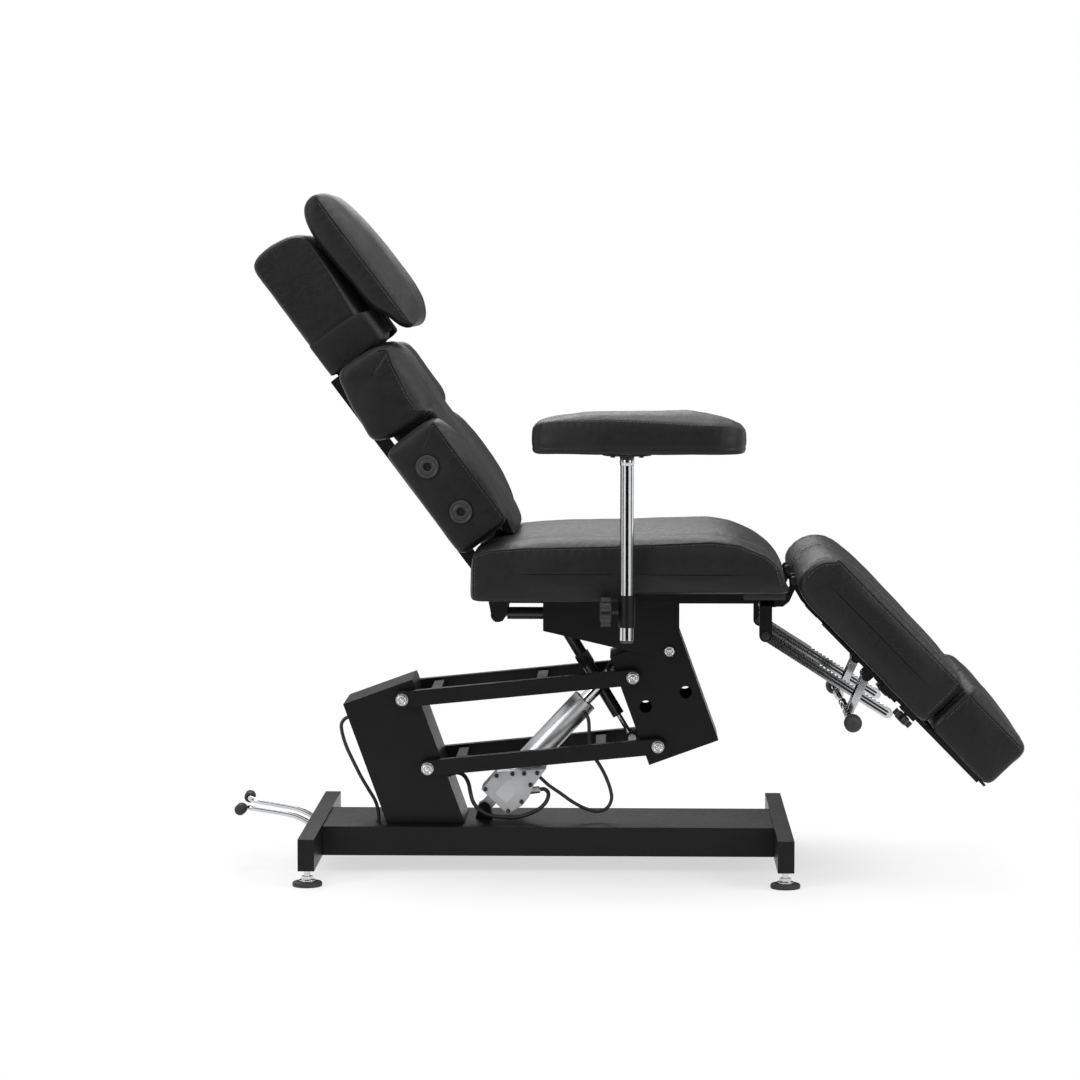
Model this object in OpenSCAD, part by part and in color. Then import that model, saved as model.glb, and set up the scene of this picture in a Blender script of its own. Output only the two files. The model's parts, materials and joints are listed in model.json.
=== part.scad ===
// Reclining tattoo chair on a leaning parallelogram lift.
// X runs from the head end to the foot end, Z is up, and the origin is on the floor under
// the middle of the base. "Near" is the -Y side, which carries the armrest.

/* [Base] */
// Distance between the outer faces of the two crossbars
base_len = 930; // [860:5:1010]
// Length of each crossbar
crossbar_len = 600; // [520:10:700]
// Width of a crossbar tube
crossbar_w = 31; // [28:1:40]
// Height of a crossbar tube
crossbar_h = 60; // [54:1:66]
// Ground clearance under the crossbars
ground_gap = 32; // [28:1:40]
// Width of the base beam
beam_w = 240; // [220:5:260]
// Height of the base beam
beam_h = 56; // [54:1:58]
// Sheet thickness of the base, column and carriage
sheet = 3; // [2:0.5:4]

/* [Levelling feet] */
// Radius of a levelling pad
foot_pad_r = 26; // [20:1:30]
// Distance of each levelling foot from the chair's centre plane
foot_y = 272; // [240:2:280]
// Radius of a levelling screw
foot_screw_r = 6; // [5:0.5:8]

/* [Lift] */
// Lean of the column and the carriage towards the head end
column_lean = 20; // [18:0.5:22]
// Front to back depth of the column and the carriage
column_depth = 142; // [134:1:150]
// Width of the column and the carriage
column_w = 160; // [154:2:164]
// Pivot to pivot length of the lift arms
arm_len = 446; // [430:1:456]
// Rise of the lift arms above level
arm_rise = 5.66; // [2:0.1:8]
// Distance between the upper and the lower pivot
pivot_gap = 142; // [136:1:148]
// Depth of an arm bar
arm_depth = 30; // [28:1:32]
// Thickness of an arm bar
arm_t = 20; // [16:1:22]
// Radius of the lift pivot bolts
pivot_r = 8; // [6:0.5:9]
// Radial clearance of a running fit
fit = 0.06; // [0.03:0.01:0.1]
// Outer radius of the lift actuator's tube
lift_tube_r = 25; // [22:0.5:26]
// Radius of the lift actuator's push rod
lift_rod_r = 13; // [11:0.5:14]

/* [Seat] */
// Full width of the seat cushion
seat_w = 600; // [560:5:620]
// Height of the crown of the seat cushion
seat_top = 668; // [655:1:680]
// Height of the underside of the seat board
board_z = 541; // [538:1:544]
// Thickness of the upholstery boards
board_t = 12; // [10:1:14]
// Lean of the backrest from upright
back_lean = 36.87; // [34:0.1:38]
// Full width of the lower back pad
lower_pad_w = 510; // [460:5:540]
// Full width of the middle back pad
mid_pad_w = 420; // [360:5:440]
// Full width of the head block
head_w = 300; // [260:5:330]
// Full width of the head pillow
pillow_w = 300; // [240:5:300]
// Bore radius of the accessory sockets in the lower back pad
socket_r = 7.5; // [5:0.5:9]

/* [Leg rests] */
// Fall of the leg rests below level
leg_fall = 45.5; // [43:0.5:48]
// Width of one leg rest
leg_w = 290; // [270:2:292]
// Length of the calf pad beyond the hinge
calf_len = 352; // [340:1:360]
// Length of the foot pad
foot_len = 162; // [140:2:180]
// Length of a ratchet bar from its pivot
ratchet_len = 285; // [275:1:288]
// Pitch of the ratchet teeth
tooth_pitch = 8.5; // [7:0.5:12]

/* [Armrest] */
// Distance of the armrest post from the centre plane
post_y = 335; // [330:1:350]
// Radius of the armrest post
post_r = 12.5; // [10:0.5:13]
// Length of the armrest pad
arm_pad_len = 394; // [360:2:420]
// Width of the armrest pad
arm_pad_w = 190; // [150:5:200]

/* [Hidden] */
$fn = 48;
NEAR = -1;
FAR = 1;
EPS = 0.5;          // overshoot of a cutting tool past the face it opens
GAP = 0.3;          // gap between faces of different moving pieces

// Base
beam_half = base_len / 2 - crossbar_w;
crossbar_x = base_len / 2 - crossbar_w / 2;
beam_top = ground_gap + beam_h;
crossbar_top = ground_gap + crossbar_h;

// Lift pivots, as [x, z]
arm_v = [arm_len * cos(arm_rise), arm_len * sin(arm_rise)];
pivot_v = [pivot_gap * sin(column_lean), -pivot_gap * cos(column_lean)];
PA = [-281, 332];                  // upper arm on the column
PC = PA + pivot_v;                 // lower arm on the column
PB = PA + arm_v;                   // upper arm on the carriage
PD = PC + arm_v;                   // lower arm on the carriage
pivot_inset = 29;                  // from a pivot to the face the arms leave by
column_above = 28;                 // column above its upper pivot
carriage_below = 31;               // carriage below its lower pivot
carriage_len = 222;
arm_y = column_w / 2 + 5;          // inner face of the arm bars
arm_out = arm_y + arm_t;
bush_r = pivot_r + 3;
washer_r = 12;
bolt_head_r = 10.5;
bolt_head_h = 8;
washer_t = 2;

// Lift actuator
PQ = [-127, 108];                  // rear pin
PP = [128, 382];                   // rod pin
lift_ang = atan2(PP[1] - PQ[1], PP[0] - PQ[0]);
lift_len = norm(PP - PQ);
tube_end = lift_len - 85;
gear_x0 = 21;
gear_x1 = 116;
lift_pin_r = 6;
eye_r = 13;
eye_w = 30;
ear_t = 6;

// Seat tilt and its gas spring
PR = [233, 426];                   // tilt pivot
PF = [162, 242];                   // spring foot on the carriage
PT = [13, 487];                    // spring head on the seat frame
tilt_len = norm(PT - PF);
tilt_ang = atan2(PT[1] - PF[1], PT[0] - PF[0]);
tilt_y = 40;
spring_r = 12;
spring_rod_r = 5;
spring_pin_r = 5;
spring_eye_r = 10;
spring_eye_w = 14;

// Backrest: local x is forward through the pads, local z is up the backrest
PH = [-90, 556];                   // back hinge
lever = [-44.8, -46.4];            // lever pin, as [forward, up] from the hinge
PW = PH + [lever[0] * cos(back_lean) - lever[1] * sin(back_lean),
           lever[0] * sin(back_lean) + lever[1] * cos(back_lean)];
PE = [190, 492];                   // back spring's front pivot
back_spring_len = norm(PE - PW);
back_spring_ang = atan2(PE[1] - PW[1], PE[0] - PW[0]);
back_spring_y = -20;
back_rail_y0 = 44;
back_rail_y1 = 68;
back_rail_t0 = -58.6;
back_rail_t1 = -28.6;
back_rail_top = 705;
hinge_pin_r = 7;

// Seat frame
rail_y0 = 71;
rail_y1 = 101;
rail_z0 = 519;
rail_x0 = -100;
rail_x1 = 440;
tube_t = 2.5;
cushion_z = board_z + board_t + GAP;
front_bar = [415, 448];            // front bar, from and to in x
plate_y0 = column_w / 2 + 3;       // inner face of the tilt plates
plate_t = 6;
PK = [415, 463];                   // ratchet bar pivot
ratchet_y = 150;
ratchet_fall = 32.5;
hanger_r = 16;

// Leg rests: local x is down the leg rest, local z is up through the pad, origin at the hinge
PJ = [468, 569];
pad_z = -16;                       // underside of a leg rest pad
leg_rail_z = -38;                  // centre of the leg rails
leg_rail_h = 22;
leg_rails = [71, 229];             // distance of each leg rail from the centre plane
slide_r = 8;
latch = [225, -27.6];              // release lever pivot
release_bar = [255, -104];         // release bar
ear_inner = [12, 18];              // seat-side hinge ears
ear_outer = [284, 290];
leg_ear_inner = [19, 25];          // leg-side hinge ears
leg_ear_outer = [277, 283];
leg_pin_r = 5;
leg_ear_r = 11;

// Armrest
post_x = 151;
sleeve_r = post_r + 2.7;
sleeve_z0 = 497;
sleeve_z1 = 557;
post_z0 = 473;
post_z1 = 806;
arm_pad_x0 = -24;

// Pedals
pedal_inset = 65;                  // from the crossbar's outer face in to the pedal shaft
pedal_pivot = [-base_len / 2 + pedal_inset, 47.5];
pedal_y = 40;
pedal_rod_r = 6;
pedal_exit = [-base_len / 2, 80];
pedal_bend = [-base_len / 2 - 35, 97.5];
pedal_tip = [-base_len / 2 - 127, 115];
pedal_switch = [22, 54];           // a pedal's switch, from and to in front of the shaft
pedal_plunger = 32;
pedal_toe = 39;                    // end of a pedal's toe in front of the shaft
pedal_spread = 100;
pedal_shaft_r = 6;

// ---- helpers ----

// A round bar along Y at [x, z]
module bar_y(p, r, y0, y1, fn = $fn) {
    translate([p[0], y0, p[1]]) rotate([-90, 0, 0]) cylinder(r = r, h = y1 - y0, $fn = fn);
}

// An outline in the X-Z plane, filled from y0 to y1
module slab_y(pts, y0, y1) {
    translate([0, y1, 0]) rotate([90, 0, 0]) linear_extrude(y1 - y0) polygon(pts);
}

// An outline in the Y-Z plane, filled from x0 to x1
module slab_x(pts, x0, x1) {
    translate([x0, 0, 0]) rotate([90, 0, 90]) linear_extrude(x1 - x0) polygon(pts);
}

// A box from corner to corner
module block(a, b) {
    translate(a) cube(b - a);
}

// A frame at a with its z axis pointing to b
module toward(a, b) {
    v = b - a;
    translate(a) rotate([0, acos(v[2] / norm(v)), atan2(v[1], v[0])]) children();
}

// A straight round rod between two points
module rod(a, b, r) {
    toward(a, b) cylinder(r = r, h = norm(b - a));
}

// A rectangular tube along X
module tube_x(a, b, t = tube_t) {
    difference() {
        block(a, b);
        block([a[0] - EPS, a[1] + t, a[2] + t], [b[0] + EPS, b[1] - t, b[2] - t]);
    }
}

// A rectangular tube along Y
module tube_y(a, b, t = tube_t) {
    difference() {
        block(a, b);
        block([a[0] + t, a[1] - EPS, a[2] + t], [b[0] - t, b[1] + EPS, b[2] - t]);
    }
}

// A pair of mirror copies, one on each side of the centre plane
module both_sides() {
    for (s = [NEAR, FAR]) scale_side(s) children();
}

// The far copy of a piece drawn on the far side, or its mirror on the near side
module scale_side(s) {
    mirror([0, s < 0 ? 1 : 0, 0]) children();
}

// Local frames
module in_column(p) { translate([p[0], 0, p[1]]) rotate([0, -column_lean, 0]) children(); }
module in_arm(p) { translate([p[0], 0, p[1]]) rotate([0, -arm_rise, 0]) children(); }
module in_lift() { translate([PQ[0], 0, PQ[1]]) rotate([0, -lift_ang, 0]) children(); }
module in_back() { translate([PH[0], 0, PH[1]]) rotate([0, -back_lean, 0]) children(); }
module in_leg() { translate([PJ[0], 0, PJ[1]]) rotate([0, leg_fall, 0]) children(); }
module in_tilt_spring() {
    translate([PF[0], tilt_y, PF[1]]) rotate([0, -tilt_ang, 0]) children();
}
module in_back_spring() {
    translate([PW[0], back_spring_y, PW[1]]) rotate([0, -back_spring_ang, 0]) children();
}
module in_ratchet() {
    translate([PK[0], ratchet_y, PK[1]]) rotate([0, ratchet_fall, 0]) children();
}

// ---- base ----

module base_beam() {
    color("#1c1c1e") difference() {
        block([-beam_half, -beam_w / 2, ground_gap], [beam_half, beam_w / 2, beam_top]);
        block([-beam_half - EPS, -beam_w / 2 + sheet, ground_gap - EPS],
              [beam_half + EPS, beam_w / 2 - sheet, beam_top - sheet]);
        // the power inlet's cut-out in the far wall
        block([inlet_x - inlet_w / 2, beam_w / 2 - sheet - EPS, inlet_z - inlet_h / 2],
              [inlet_x + inlet_w / 2, beam_w / 2 + EPS, inlet_z + inlet_h / 2]);
        // the cable way up into the column, and the hole for the cable down the column's back
        translate([cable_way_x, 0, beam_top - sheet - EPS]) cylinder(r = cable_way_r, h = sheet + 2 * EPS);
        translate([back_cable[0], back_cable[1], beam_top - sheet - EPS])
            cylinder(r = back_cable_hole, h = sheet + 2 * EPS);
    }
}
inlet_x = -330;
inlet_z = 60;
inlet_w = 48;
inlet_h = 28;
inlet_flange = 4;
cable_way_x = -240;
cable_way_r = 14;
back_cable = [-330, -60];          // where that cable goes down through the beam, as [x, y]
back_cable_hole = 4;

module crossbar(x) {
    difference() {
        tube_y([x - crossbar_w / 2, -crossbar_len / 2, ground_gap],
               [x + crossbar_w / 2, crossbar_len / 2, crossbar_top], sheet);
        for (y = [-foot_y, foot_y])
            translate([x, y, ground_gap - EPS]) cylinder(r = foot_screw_r + fit, h = sheet + 2 * EPS);
    }
    for (s = [-1, 1])
        translate([x - crossbar_w / 2 + sheet, s * (crossbar_len / 2 - sheet / 2) - sheet / 2, ground_gap + sheet])
            cube([crossbar_w - 2 * sheet, sheet, crossbar_h - 2 * sheet]);
}
pedal_slot_outer = [66, 89];
pedal_slot_inner = [53, 75];
pedal_slot_w = 2 * pedal_rod_r + 3;

module base_crossbars() {
    color("#1c1c1e") {
        crossbar(crossbar_x);
        difference() {
            crossbar(-crossbar_x);
            for (y = [-pedal_y, pedal_y]) {
                block([-base_len / 2 - EPS, y - pedal_slot_w / 2, pedal_slot_outer[0]],
                      [-base_len / 2 + sheet + EPS, y + pedal_slot_w / 2, pedal_slot_outer[1]]);
                block([-beam_half - sheet - EPS, y - pedal_slot_w / 2, pedal_slot_inner[0]],
                      [-beam_half + EPS, y + pedal_slot_w / 2, pedal_slot_inner[1]]);
            }
        }
    }
}

// The column's side outline: square top, foot cut level with the beam
function column_outline(inset, base) =
    let (c = cos(column_lean), s = sin(column_lean), t = tan(column_lean),
         front = pivot_inset - inset, back = pivot_inset - column_depth + inset,
         top = column_above - inset,
         tf = PA + [front * c - top * s, front * s + top * c],
         tb = PA + [back * c - top * s, back * s + top * c])
    [tf, tb, [tb[0] + (tb[1] - base) * t, base], [tf[0] + (tf[1] - base) * t, base]];

module column() {
    color("#1c1c1e") difference() {
        slab_y(column_outline(0, beam_top), -column_w / 2, column_w / 2);
        slab_y(column_outline(sheet, beam_top - EPS), -column_w / 2 + sheet, column_w / 2 - sheet);
        for (p = [PA, PC]) bar_y(p, pivot_r + fit, -column_w / 2 - EPS, column_w / 2 + EPS);
        // cable holes in the front face, under the lower arm
        for (y = [-30, 30]) in_column(PC) translate([pivot_inset - sheet - EPS, y, -34])
            rotate([0, 90, 0]) cylinder(r = 7, h = sheet + 2 * EPS);
        // cable hole in the back face, level with the upper arm's pivot
        in_column(PA) translate([pivot_inset - column_depth - EPS, back_cable[1], 0])
            rotate([0, 90, 0]) cylinder(r = back_cable_hole, h = sheet + 2 * EPS);
    }
}

module control_box() {
    color("#2b2b2d") {
        block([-70, -70, beam_top - sheet - 42], [120, 50, beam_top - sheet]);
        for (x = [-30, 20, 70]) block([x - 9, 50, beam_top - sheet - 30], [x + 9, 62, beam_top - sheet - 14]);
    }
}

module power_inlet() {
    y0 = beam_w / 2;
    color("#151515") difference() {
        union() {
            block([inlet_x - inlet_w / 2 - inlet_flange, y0, inlet_z - inlet_h / 2 + 1 - inlet_flange],
                  [inlet_x + inlet_w / 2 + inlet_flange, y0 + 3, inlet_z + inlet_h / 2 - 1 + inlet_flange]);
            block([inlet_x - inlet_w / 2 + 1, y0 - 24, inlet_z - inlet_h / 2 + 1],
                  [inlet_x + inlet_w / 2 - 1, y0, inlet_z + inlet_h / 2 - 1]);
        }
        block([inlet_x - 13, y0 - 16, inlet_z - 9], [inlet_x + 13, y0 + 3 + EPS, inlet_z + 9]);
    }
}

module pedal_shaft() {
    color("#8c8c90") bar_y(pedal_pivot, pedal_shaft_r, -beam_w / 2 + sheet, beam_w / 2 - sheet);
    color("#202022") for (y = [-pedal_y, pedal_y]) {
        block([pedal_pivot[0] + pedal_switch[0], y - 9, 57],
              [pedal_pivot[0] + pedal_switch[1], y + 9, beam_top - sheet]);
        translate([pedal_pivot[0] + pedal_plunger, y, 54]) cylinder(r = 2, h = 4);
    }
}

module actuator_bracket() {
    color("#1c1c1e") {
        for (s = [-1, 1]) difference() {
            union() {
                slab_y([[PQ[0] - 17, beam_top], [PQ[0] + 17, beam_top], [PQ[0] + 12, PQ[1]], [PQ[0] - 12, PQ[1]]],
                       s > 0 ? 12 : -18, s > 0 ? 18 : -12);
                bar_y(PQ, 12, s > 0 ? 12 : -18, s > 0 ? 18 : -12);
            }
            bar_y(PQ, lift_pin_r + fit, -20, 20);
        }
    }
    color("#b9bbbd") {
        bar_y(PQ, lift_pin_r, -20, 20);
        bar_y(PQ, 9, -24, -20);
        bar_y(PQ, 9, 20, 24);
    }
}

// One lift pivot: a through bolt, its head and nut, two washers and two flanged bushes
module pivot_set(p) {
    bar_y(p, pivot_r, -arm_out - washer_t - 2 * GAP, arm_out + washer_t + 2 * GAP + bolt_head_h + 3);
    bar_y(p, bolt_head_r, -arm_out - washer_t - 2 * GAP - bolt_head_h, -arm_out - washer_t - 2 * GAP, 6);
    difference() {
        bar_y(p, bolt_head_r, arm_out + washer_t + 2 * GAP, arm_out + washer_t + 2 * GAP + bolt_head_h, 6);
        bar_y(p, pivot_r + fit, arm_out, arm_out + 40);
    }
    both_sides() difference() {
        union() {
            bar_y(p, washer_r, arm_out + GAP, arm_out + GAP + washer_t);
            bar_y(p, washer_r, column_w / 2, arm_y - GAP);
            bar_y(p, bush_r - fit, column_w / 2, arm_out);
        }
        bar_y(p, pivot_r + fit, column_w / 2 - EPS, arm_out + 40);
    }
}

module column_pivots() {
    color("#c4c6c9") for (p = [PA, PC]) pivot_set(p);
}

// ---- cables ----

// Rings of a cable swept along points, for one closed tube
function unit(v) = v / norm(v);
function tangent(p, i) = unit(p[min(i + 1, len(p) - 1)] - p[max(i - 1, 0)]);
function ring(p, i, r, n) =
    let (t = tangent(p, i), u = unit(cross(t, abs(t[1]) < 0.9 ? [0, 1, 0] : [1, 0, 0])), w = cross(t, u))
    [for (k = [0 : n - 1]) p[i] + r * (cos(360 * k / n) * u + sin(360 * k / n) * w)];
module cable(p, r, n = 8) {
    m = len(p);
    pts = [for (i = [0 : m - 1]) each ring(p, i, r, n)];
    sides = [for (i = [0 : m - 2], k = [0 : n - 1])
        [i * n + k, i * n + (k + 1) % n, (i + 1) * n + (k + 1) % n, (i + 1) * n + k]];
    polyhedron(pts, concat([[for (k = [n - 1 : -1 : 0]) k]], sides, [[for (k = [0 : n - 1]) (m - 1) * n + k]]));
}

module motor_cables() {
    color("#141414") {
        // from the lift actuator's gland, round under its gearbox and in at the column's front
        cable([[-17.4, -30, 147.7], [-9.5, -30, 148.7], [-2, -34, 144], [-1, -40, 135], [-7, -46, 123],
               [-20, -52, 112], [-40, -56, 103], [-66, -58, 97], [-110, -58, 100], [-132, -57, 110],
               [-146, -53, 125], [-152, -47, 143], [-156, -40, 160], [-164, -34, 174], [-176, -31, 180],
               [-188, -30, 178.5], [-200, -30, 174]], 4);
        // out of the column's back and down through the beam
        cable([[-378, -60, 296.8], [-388, -60, 293], [-397, -60, 287], [-402, -60, 276], [-399, -60, 256],
               [-391, -60, 232], [-378, -60, 204], [-364, -60, 176], [-350, -60, 152], [-338, -60, 132],
               [-332, -60, 115], [-330.3, -60, 104], [-330, -60, 96], [-330, -60, 80]], 3.5);
    }
}

module actuator_cable() {
    // out of the gearbox's underside, round in front of it and up to the tube's end
    color("#141414") cable([[-17.3, -38, 173.1], [-11, -38.5, 167.2], [-4, -41, 161], [5, -44, 154.5],
        [24, -46, 142], [46, -44, 126], [70, -42, 113], [92, -40, 107], [112, -38, 112], [122, -36, 130],
        [119, -36, 152], [109, -36, 178], [98, -36, 198], [89, -36, 212], [83, -35, 228], [79.5, -34, 245],
        [78.5, -34, 262], [77.5, -33, 282], [75, -31.5, 291], [71.8, -28.3, 296.2], [68.8, -21.45, 299.1]], 3.5);
}

// ---- feet and pedals ----

module levelling_foot(x, y) {
    color("#c9cbce") translate([x, y, 0]) {
        cylinder(r1 = foot_pad_r, r2 = foot_pad_r, h = 7);
        cylinder(r = foot_pad_r * 0.6, h = 12);
        cylinder(r = foot_screw_r + 5, h = 19, $fn = 6);
        cylinder(r = foot_screw_r, h = ground_gap + 22);
    }
}
module levelling_foot_head_near() { levelling_foot(-crossbar_x, -foot_y); }
module levelling_foot_head_far() { levelling_foot(-crossbar_x, foot_y); }
module levelling_foot_toe_near() { levelling_foot(crossbar_x, -foot_y); }
module levelling_foot_toe_far() { levelling_foot(crossbar_x, foot_y); }

module pedal(s) {
    p0 = [pedal_pivot[0], s * pedal_y, pedal_pivot[1]];
    p1 = [pedal_bend[0], s * pedal_y, pedal_bend[1]];
    p2 = [pedal_tip[0], s * pedal_spread, pedal_tip[1]];
    grip = unit(p2 - p1);
    color("#c9cbce") {
        difference() {
            union() {
                bar_y(pedal_pivot, 11, s * pedal_y - 7, s * pedal_y + 7);
                rod(p0, p1 + 2.5 * unit(p1 - p0), pedal_rod_r);
                block([pedal_pivot[0], s * pedal_y - 5, 44],
                      [pedal_pivot[0] + pedal_toe, s * pedal_y + 5, 50]);
            }
            bar_y(pedal_pivot, pedal_shaft_r + fit, s * pedal_y - 20, s * pedal_y + 20);
        }
        rod(p1 - 2.5 * grip, p2, pedal_rod_r);
    }
    color("#1a1a1a") toward(p2 - 32 * grip, p2) rotate_extrude()
        polygon([[0, 0], [10, 0], [12, 3], [12, 46], [9, 53], [0, 53]]);
}
module pedal_near() { pedal(NEAR); }
module pedal_far() { pedal(FAR); }

// ---- lift arms and carriage ----

module lift_arm(p, tubes) {
    color("#1c1c1e") in_arm(p) {
        both_sides() difference() {
            union() {
                block([0, arm_y, -arm_depth / 2], [arm_len, arm_out, arm_depth / 2]);
                for (x = [0, arm_len]) bar_y([x, 0], arm_depth / 2, arm_y, arm_out);
            }
            for (x = [0, arm_len]) bar_y([x, 0], bush_r, arm_y - EPS, arm_out + EPS);
        }
        for (x = tubes)
            tube_y([x - 10, -arm_y, -10], [x + 10, arm_y, 10]);
    }
}
module upper_arm() { lift_arm(PA, [64, 270]); }
module lower_arm() { lift_arm(PC, [64, 336]); }

carriage_x0 = -pivot_inset;
carriage_x1 = column_depth - pivot_inset;
carriage_z0 = -carriage_below;
carriage_z1 = carriage_len - carriage_below;
// A point in the carriage's own frame, which starts at the lower pivot
function to_carriage(p) =
    let (d = p - PD, c = cos(column_lean), s = sin(column_lean))
    [d[0] * c + d[1] * s, -d[0] * s + d[1] * c];
rod_slot = 22;          // half height of the slot for the push rod's eye
window_r = 12;          // round holes in the carriage's sides
windows = [[265, 345], [188, 317]];
rod_ear_y = eye_w / 2 + 2;
spring_ear_y = spring_eye_w / 2 + 1;
spring_ear_t = 5;

// An ear standing out of the carriage's head-side face, round a pivot at local point q
module face_ear(q, r, y0, y1) {
    block([q[0], y0, q[1] - r], [carriage_x0 + sheet, y1, q[1] + r]);
    bar_y(q, r, y0, y1);
}

module carriage() {
    qp = to_carriage(PP);
    qf = to_carriage(PF);
    color("#1c1c1e") difference() {
        union() {
            in_column(PD) difference() {
                block([carriage_x0, -column_w / 2, carriage_z0], [carriage_x1, column_w / 2, carriage_z1]);
                block([carriage_x0 + sheet, -column_w / 2 + sheet, carriage_z0 - EPS],
                      [carriage_x1 - sheet, column_w / 2 - sheet, carriage_z1 - sheet]);
                block([carriage_x0 - EPS, -rod_ear_y, qp[1] - rod_slot - 6],
                      [carriage_x0 + sheet + EPS, rod_ear_y, qp[1] + rod_slot]);
            }
            in_column(PD) {
                for (s = [0, 1]) mirror([0, s, 0]) {
                    face_ear(qp, 16, rod_ear_y, rod_ear_y + ear_t);
                    block([qp[0], rod_ear_y, qp[1] - 16], [carriage_x0 + 22, rod_ear_y + ear_t, qp[1] + 16]);
                }
                for (y = [tilt_y - spring_ear_y - spring_ear_t, tilt_y + spring_ear_y])
                    face_ear(qf, 12, y, y + spring_ear_t);
            }
        }
        for (p = [PB, PD, PR]) bar_y(p, pivot_r + fit, -column_w / 2 - EPS, column_w / 2 + EPS);
        for (w = windows) bar_y(w, window_r, -column_w / 2 - EPS, column_w / 2 + EPS);
        bar_y(PP, lift_pin_r + fit, -rod_ear_y - ear_t - EPS, rod_ear_y + ear_t + EPS);
        for (s = [0, 1]) mirror([0, s, 0]) bar_y(PP, 11, rod_ear_y + ear_t - 0.3, rod_ear_y + ear_t + 8);
        bar_y(PF, spring_pin_r + fit, tilt_y - 20, tilt_y + 20);
    }
}

module carriage_pivots() {
    color("#c4c6c9") {
        for (p = [PB, PD]) pivot_set(p);
        // seat tilt bolt
        bar_y(PR, pivot_r, -plate_y0 - plate_t - 3, plate_y0 + plate_t + 3);
        both_sides() {
            bar_y(PR, washer_r, column_w / 2, plate_y0 - GAP);
            bar_y(PR, bolt_head_r, plate_y0 + plate_t + GAP, plate_y0 + plate_t + 7, 6);
        }
        // rod pin's head and nut outside the ears
        for (s = [0, 1]) mirror([0, s, 0]) {
            bar_y(PP, 9, rod_ear_y + ear_t, rod_ear_y + ear_t + 6, 6);
            bar_y(PP, lift_pin_r, rod_ear_y + 1, rod_ear_y + ear_t);
        }
        // spring pin
        bar_y(PF, spring_pin_r, tilt_y - spring_ear_y - spring_ear_t - 3, tilt_y + spring_ear_y + spring_ear_t + 3);
        bar_y(PF, 8, tilt_y + spring_ear_y + spring_ear_t, tilt_y + spring_ear_y + spring_ear_t + 3);
        bar_y(PF, 8, tilt_y - spring_ear_y - spring_ear_t - 3, tilt_y - spring_ear_y - spring_ear_t);
    }
}

// ---- lift actuator: local x runs from the rear pin to the rod pin ----

gear_y0 = -45;
gear_y1 = 27;
gear_outline = [[28, 31.5], [73.3, 32.7], [143.9, -32.8], [101.9, -37.6], [81.1, -46.1], [59.8, -48.1], [26.9, -39.2]];
gear_cavity = [[33, 26], [70, 27], [78, 19], [78, -30], [74, -41], [60, -43], [33, -34]];
motor_at = [56, -14];
motor_r = 25;
screw_r = 6.5;
tube_x0 = 84;
rod_x0 = 158;
tube_wall = 4;

module lift_gearbox() {
    color("#c3c5c7") in_lift() {
        difference() {
            slab_y(gear_outline, gear_y0, gear_y1);
            slab_y(gear_cavity, gear_y0 - EPS, gear_y1 - 4);
            translate([tube_x0, 0, 0]) rotate([0, 90, 0]) cylinder(r = lift_tube_r + fit, h = 90);
            translate([74, 0, 0]) rotate([0, 90, 0]) cylinder(r = 9, h = 20);
        }
        difference() {
            union() {
                block([0, -11.7, -11], [28, 11.7, 11]);
                bar_y([0, 0], eye_r, -11.7, 11.7);
            }
            bar_y([0, 0], lift_pin_r + fit, -12, 12);
        }
        // cable gland
        translate([88, -30, -40]) rotate([0, 130, 0]) cylinder(r = 7, h = 20);
    }
}

cover_screws = [[34, 26], [68, 28], [92, 8], [108, -8], [126, -26], [100, -32], [64, -42], [33, -35]];
module gearbox_cover() {
    color("#a9acaf") in_lift() slab_y(gear_outline, gear_y0 - 3, gear_y0);
    color("#54565a") in_lift() for (p = cover_screws) bar_y(p, 3, gear_y0 - 5, gear_y0 - 3);
}

module lift_tube() {
    color("#c9cbcd") in_lift() difference() {
        translate([tube_x0, 0, 0]) rotate([0, 90, 0]) cylinder(r = lift_tube_r, h = tube_end - tube_x0);
        translate([tube_x0 + 4, 0, 0]) rotate([0, 90, 0])
            cylinder(r = lift_tube_r - tube_wall, h = tube_end - tube_x0 - 14);
        translate([tube_x0 - EPS, 0, 0]) rotate([0, 90, 0]) cylinder(r = screw_r + fit, h = 10);
        translate([tube_end - 20, 0, 0]) rotate([0, 90, 0]) cylinder(r = lift_rod_r + fit, h = 40);
    }
}

module lift_motor() {
    color("#2a2b2d") in_lift() {
        bar_y(motor_at, motor_r, gear_y1, 76);
        bar_y(motor_at, 4, -36, gear_y1 - 4);
        bar_y(motor_at, 9, -22, -12);
    }
}

module lift_leadscrew() {
    color("#b4a06a") in_lift() {
        translate([38, 0, 0]) rotate([0, 90, 0]) cylinder(r = screw_r, h = 190);
        difference() {
            translate([66, 0, 0]) rotate([0, 90, 0]) cylinder(r = 17, h = 8);
            bar_y(motor_at, 5, -36, gear_y1 - 4);
        }
    }
}

module lift_rod() {
    color("#d2d4d6") in_lift() {
        difference() {
            translate([rod_x0, 0, 0]) rotate([0, 90, 0]) cylinder(r = lift_rod_r, h = lift_len - rod_x0 - 4);
            translate([rod_x0 - EPS, 0, 0]) rotate([0, 90, 0])
                cylinder(r = screw_r + 1, h = lift_len - rod_x0 - 24);
        }
        bar_y([lift_len, 0], eye_r, -eye_w / 2, eye_w / 2);
        bar_y([lift_len, 0], lift_pin_r - 0.5, -eye_w / 2 - 1.5, eye_w / 2 + 1.5);
    }
}

// ---- seat ----

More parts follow.
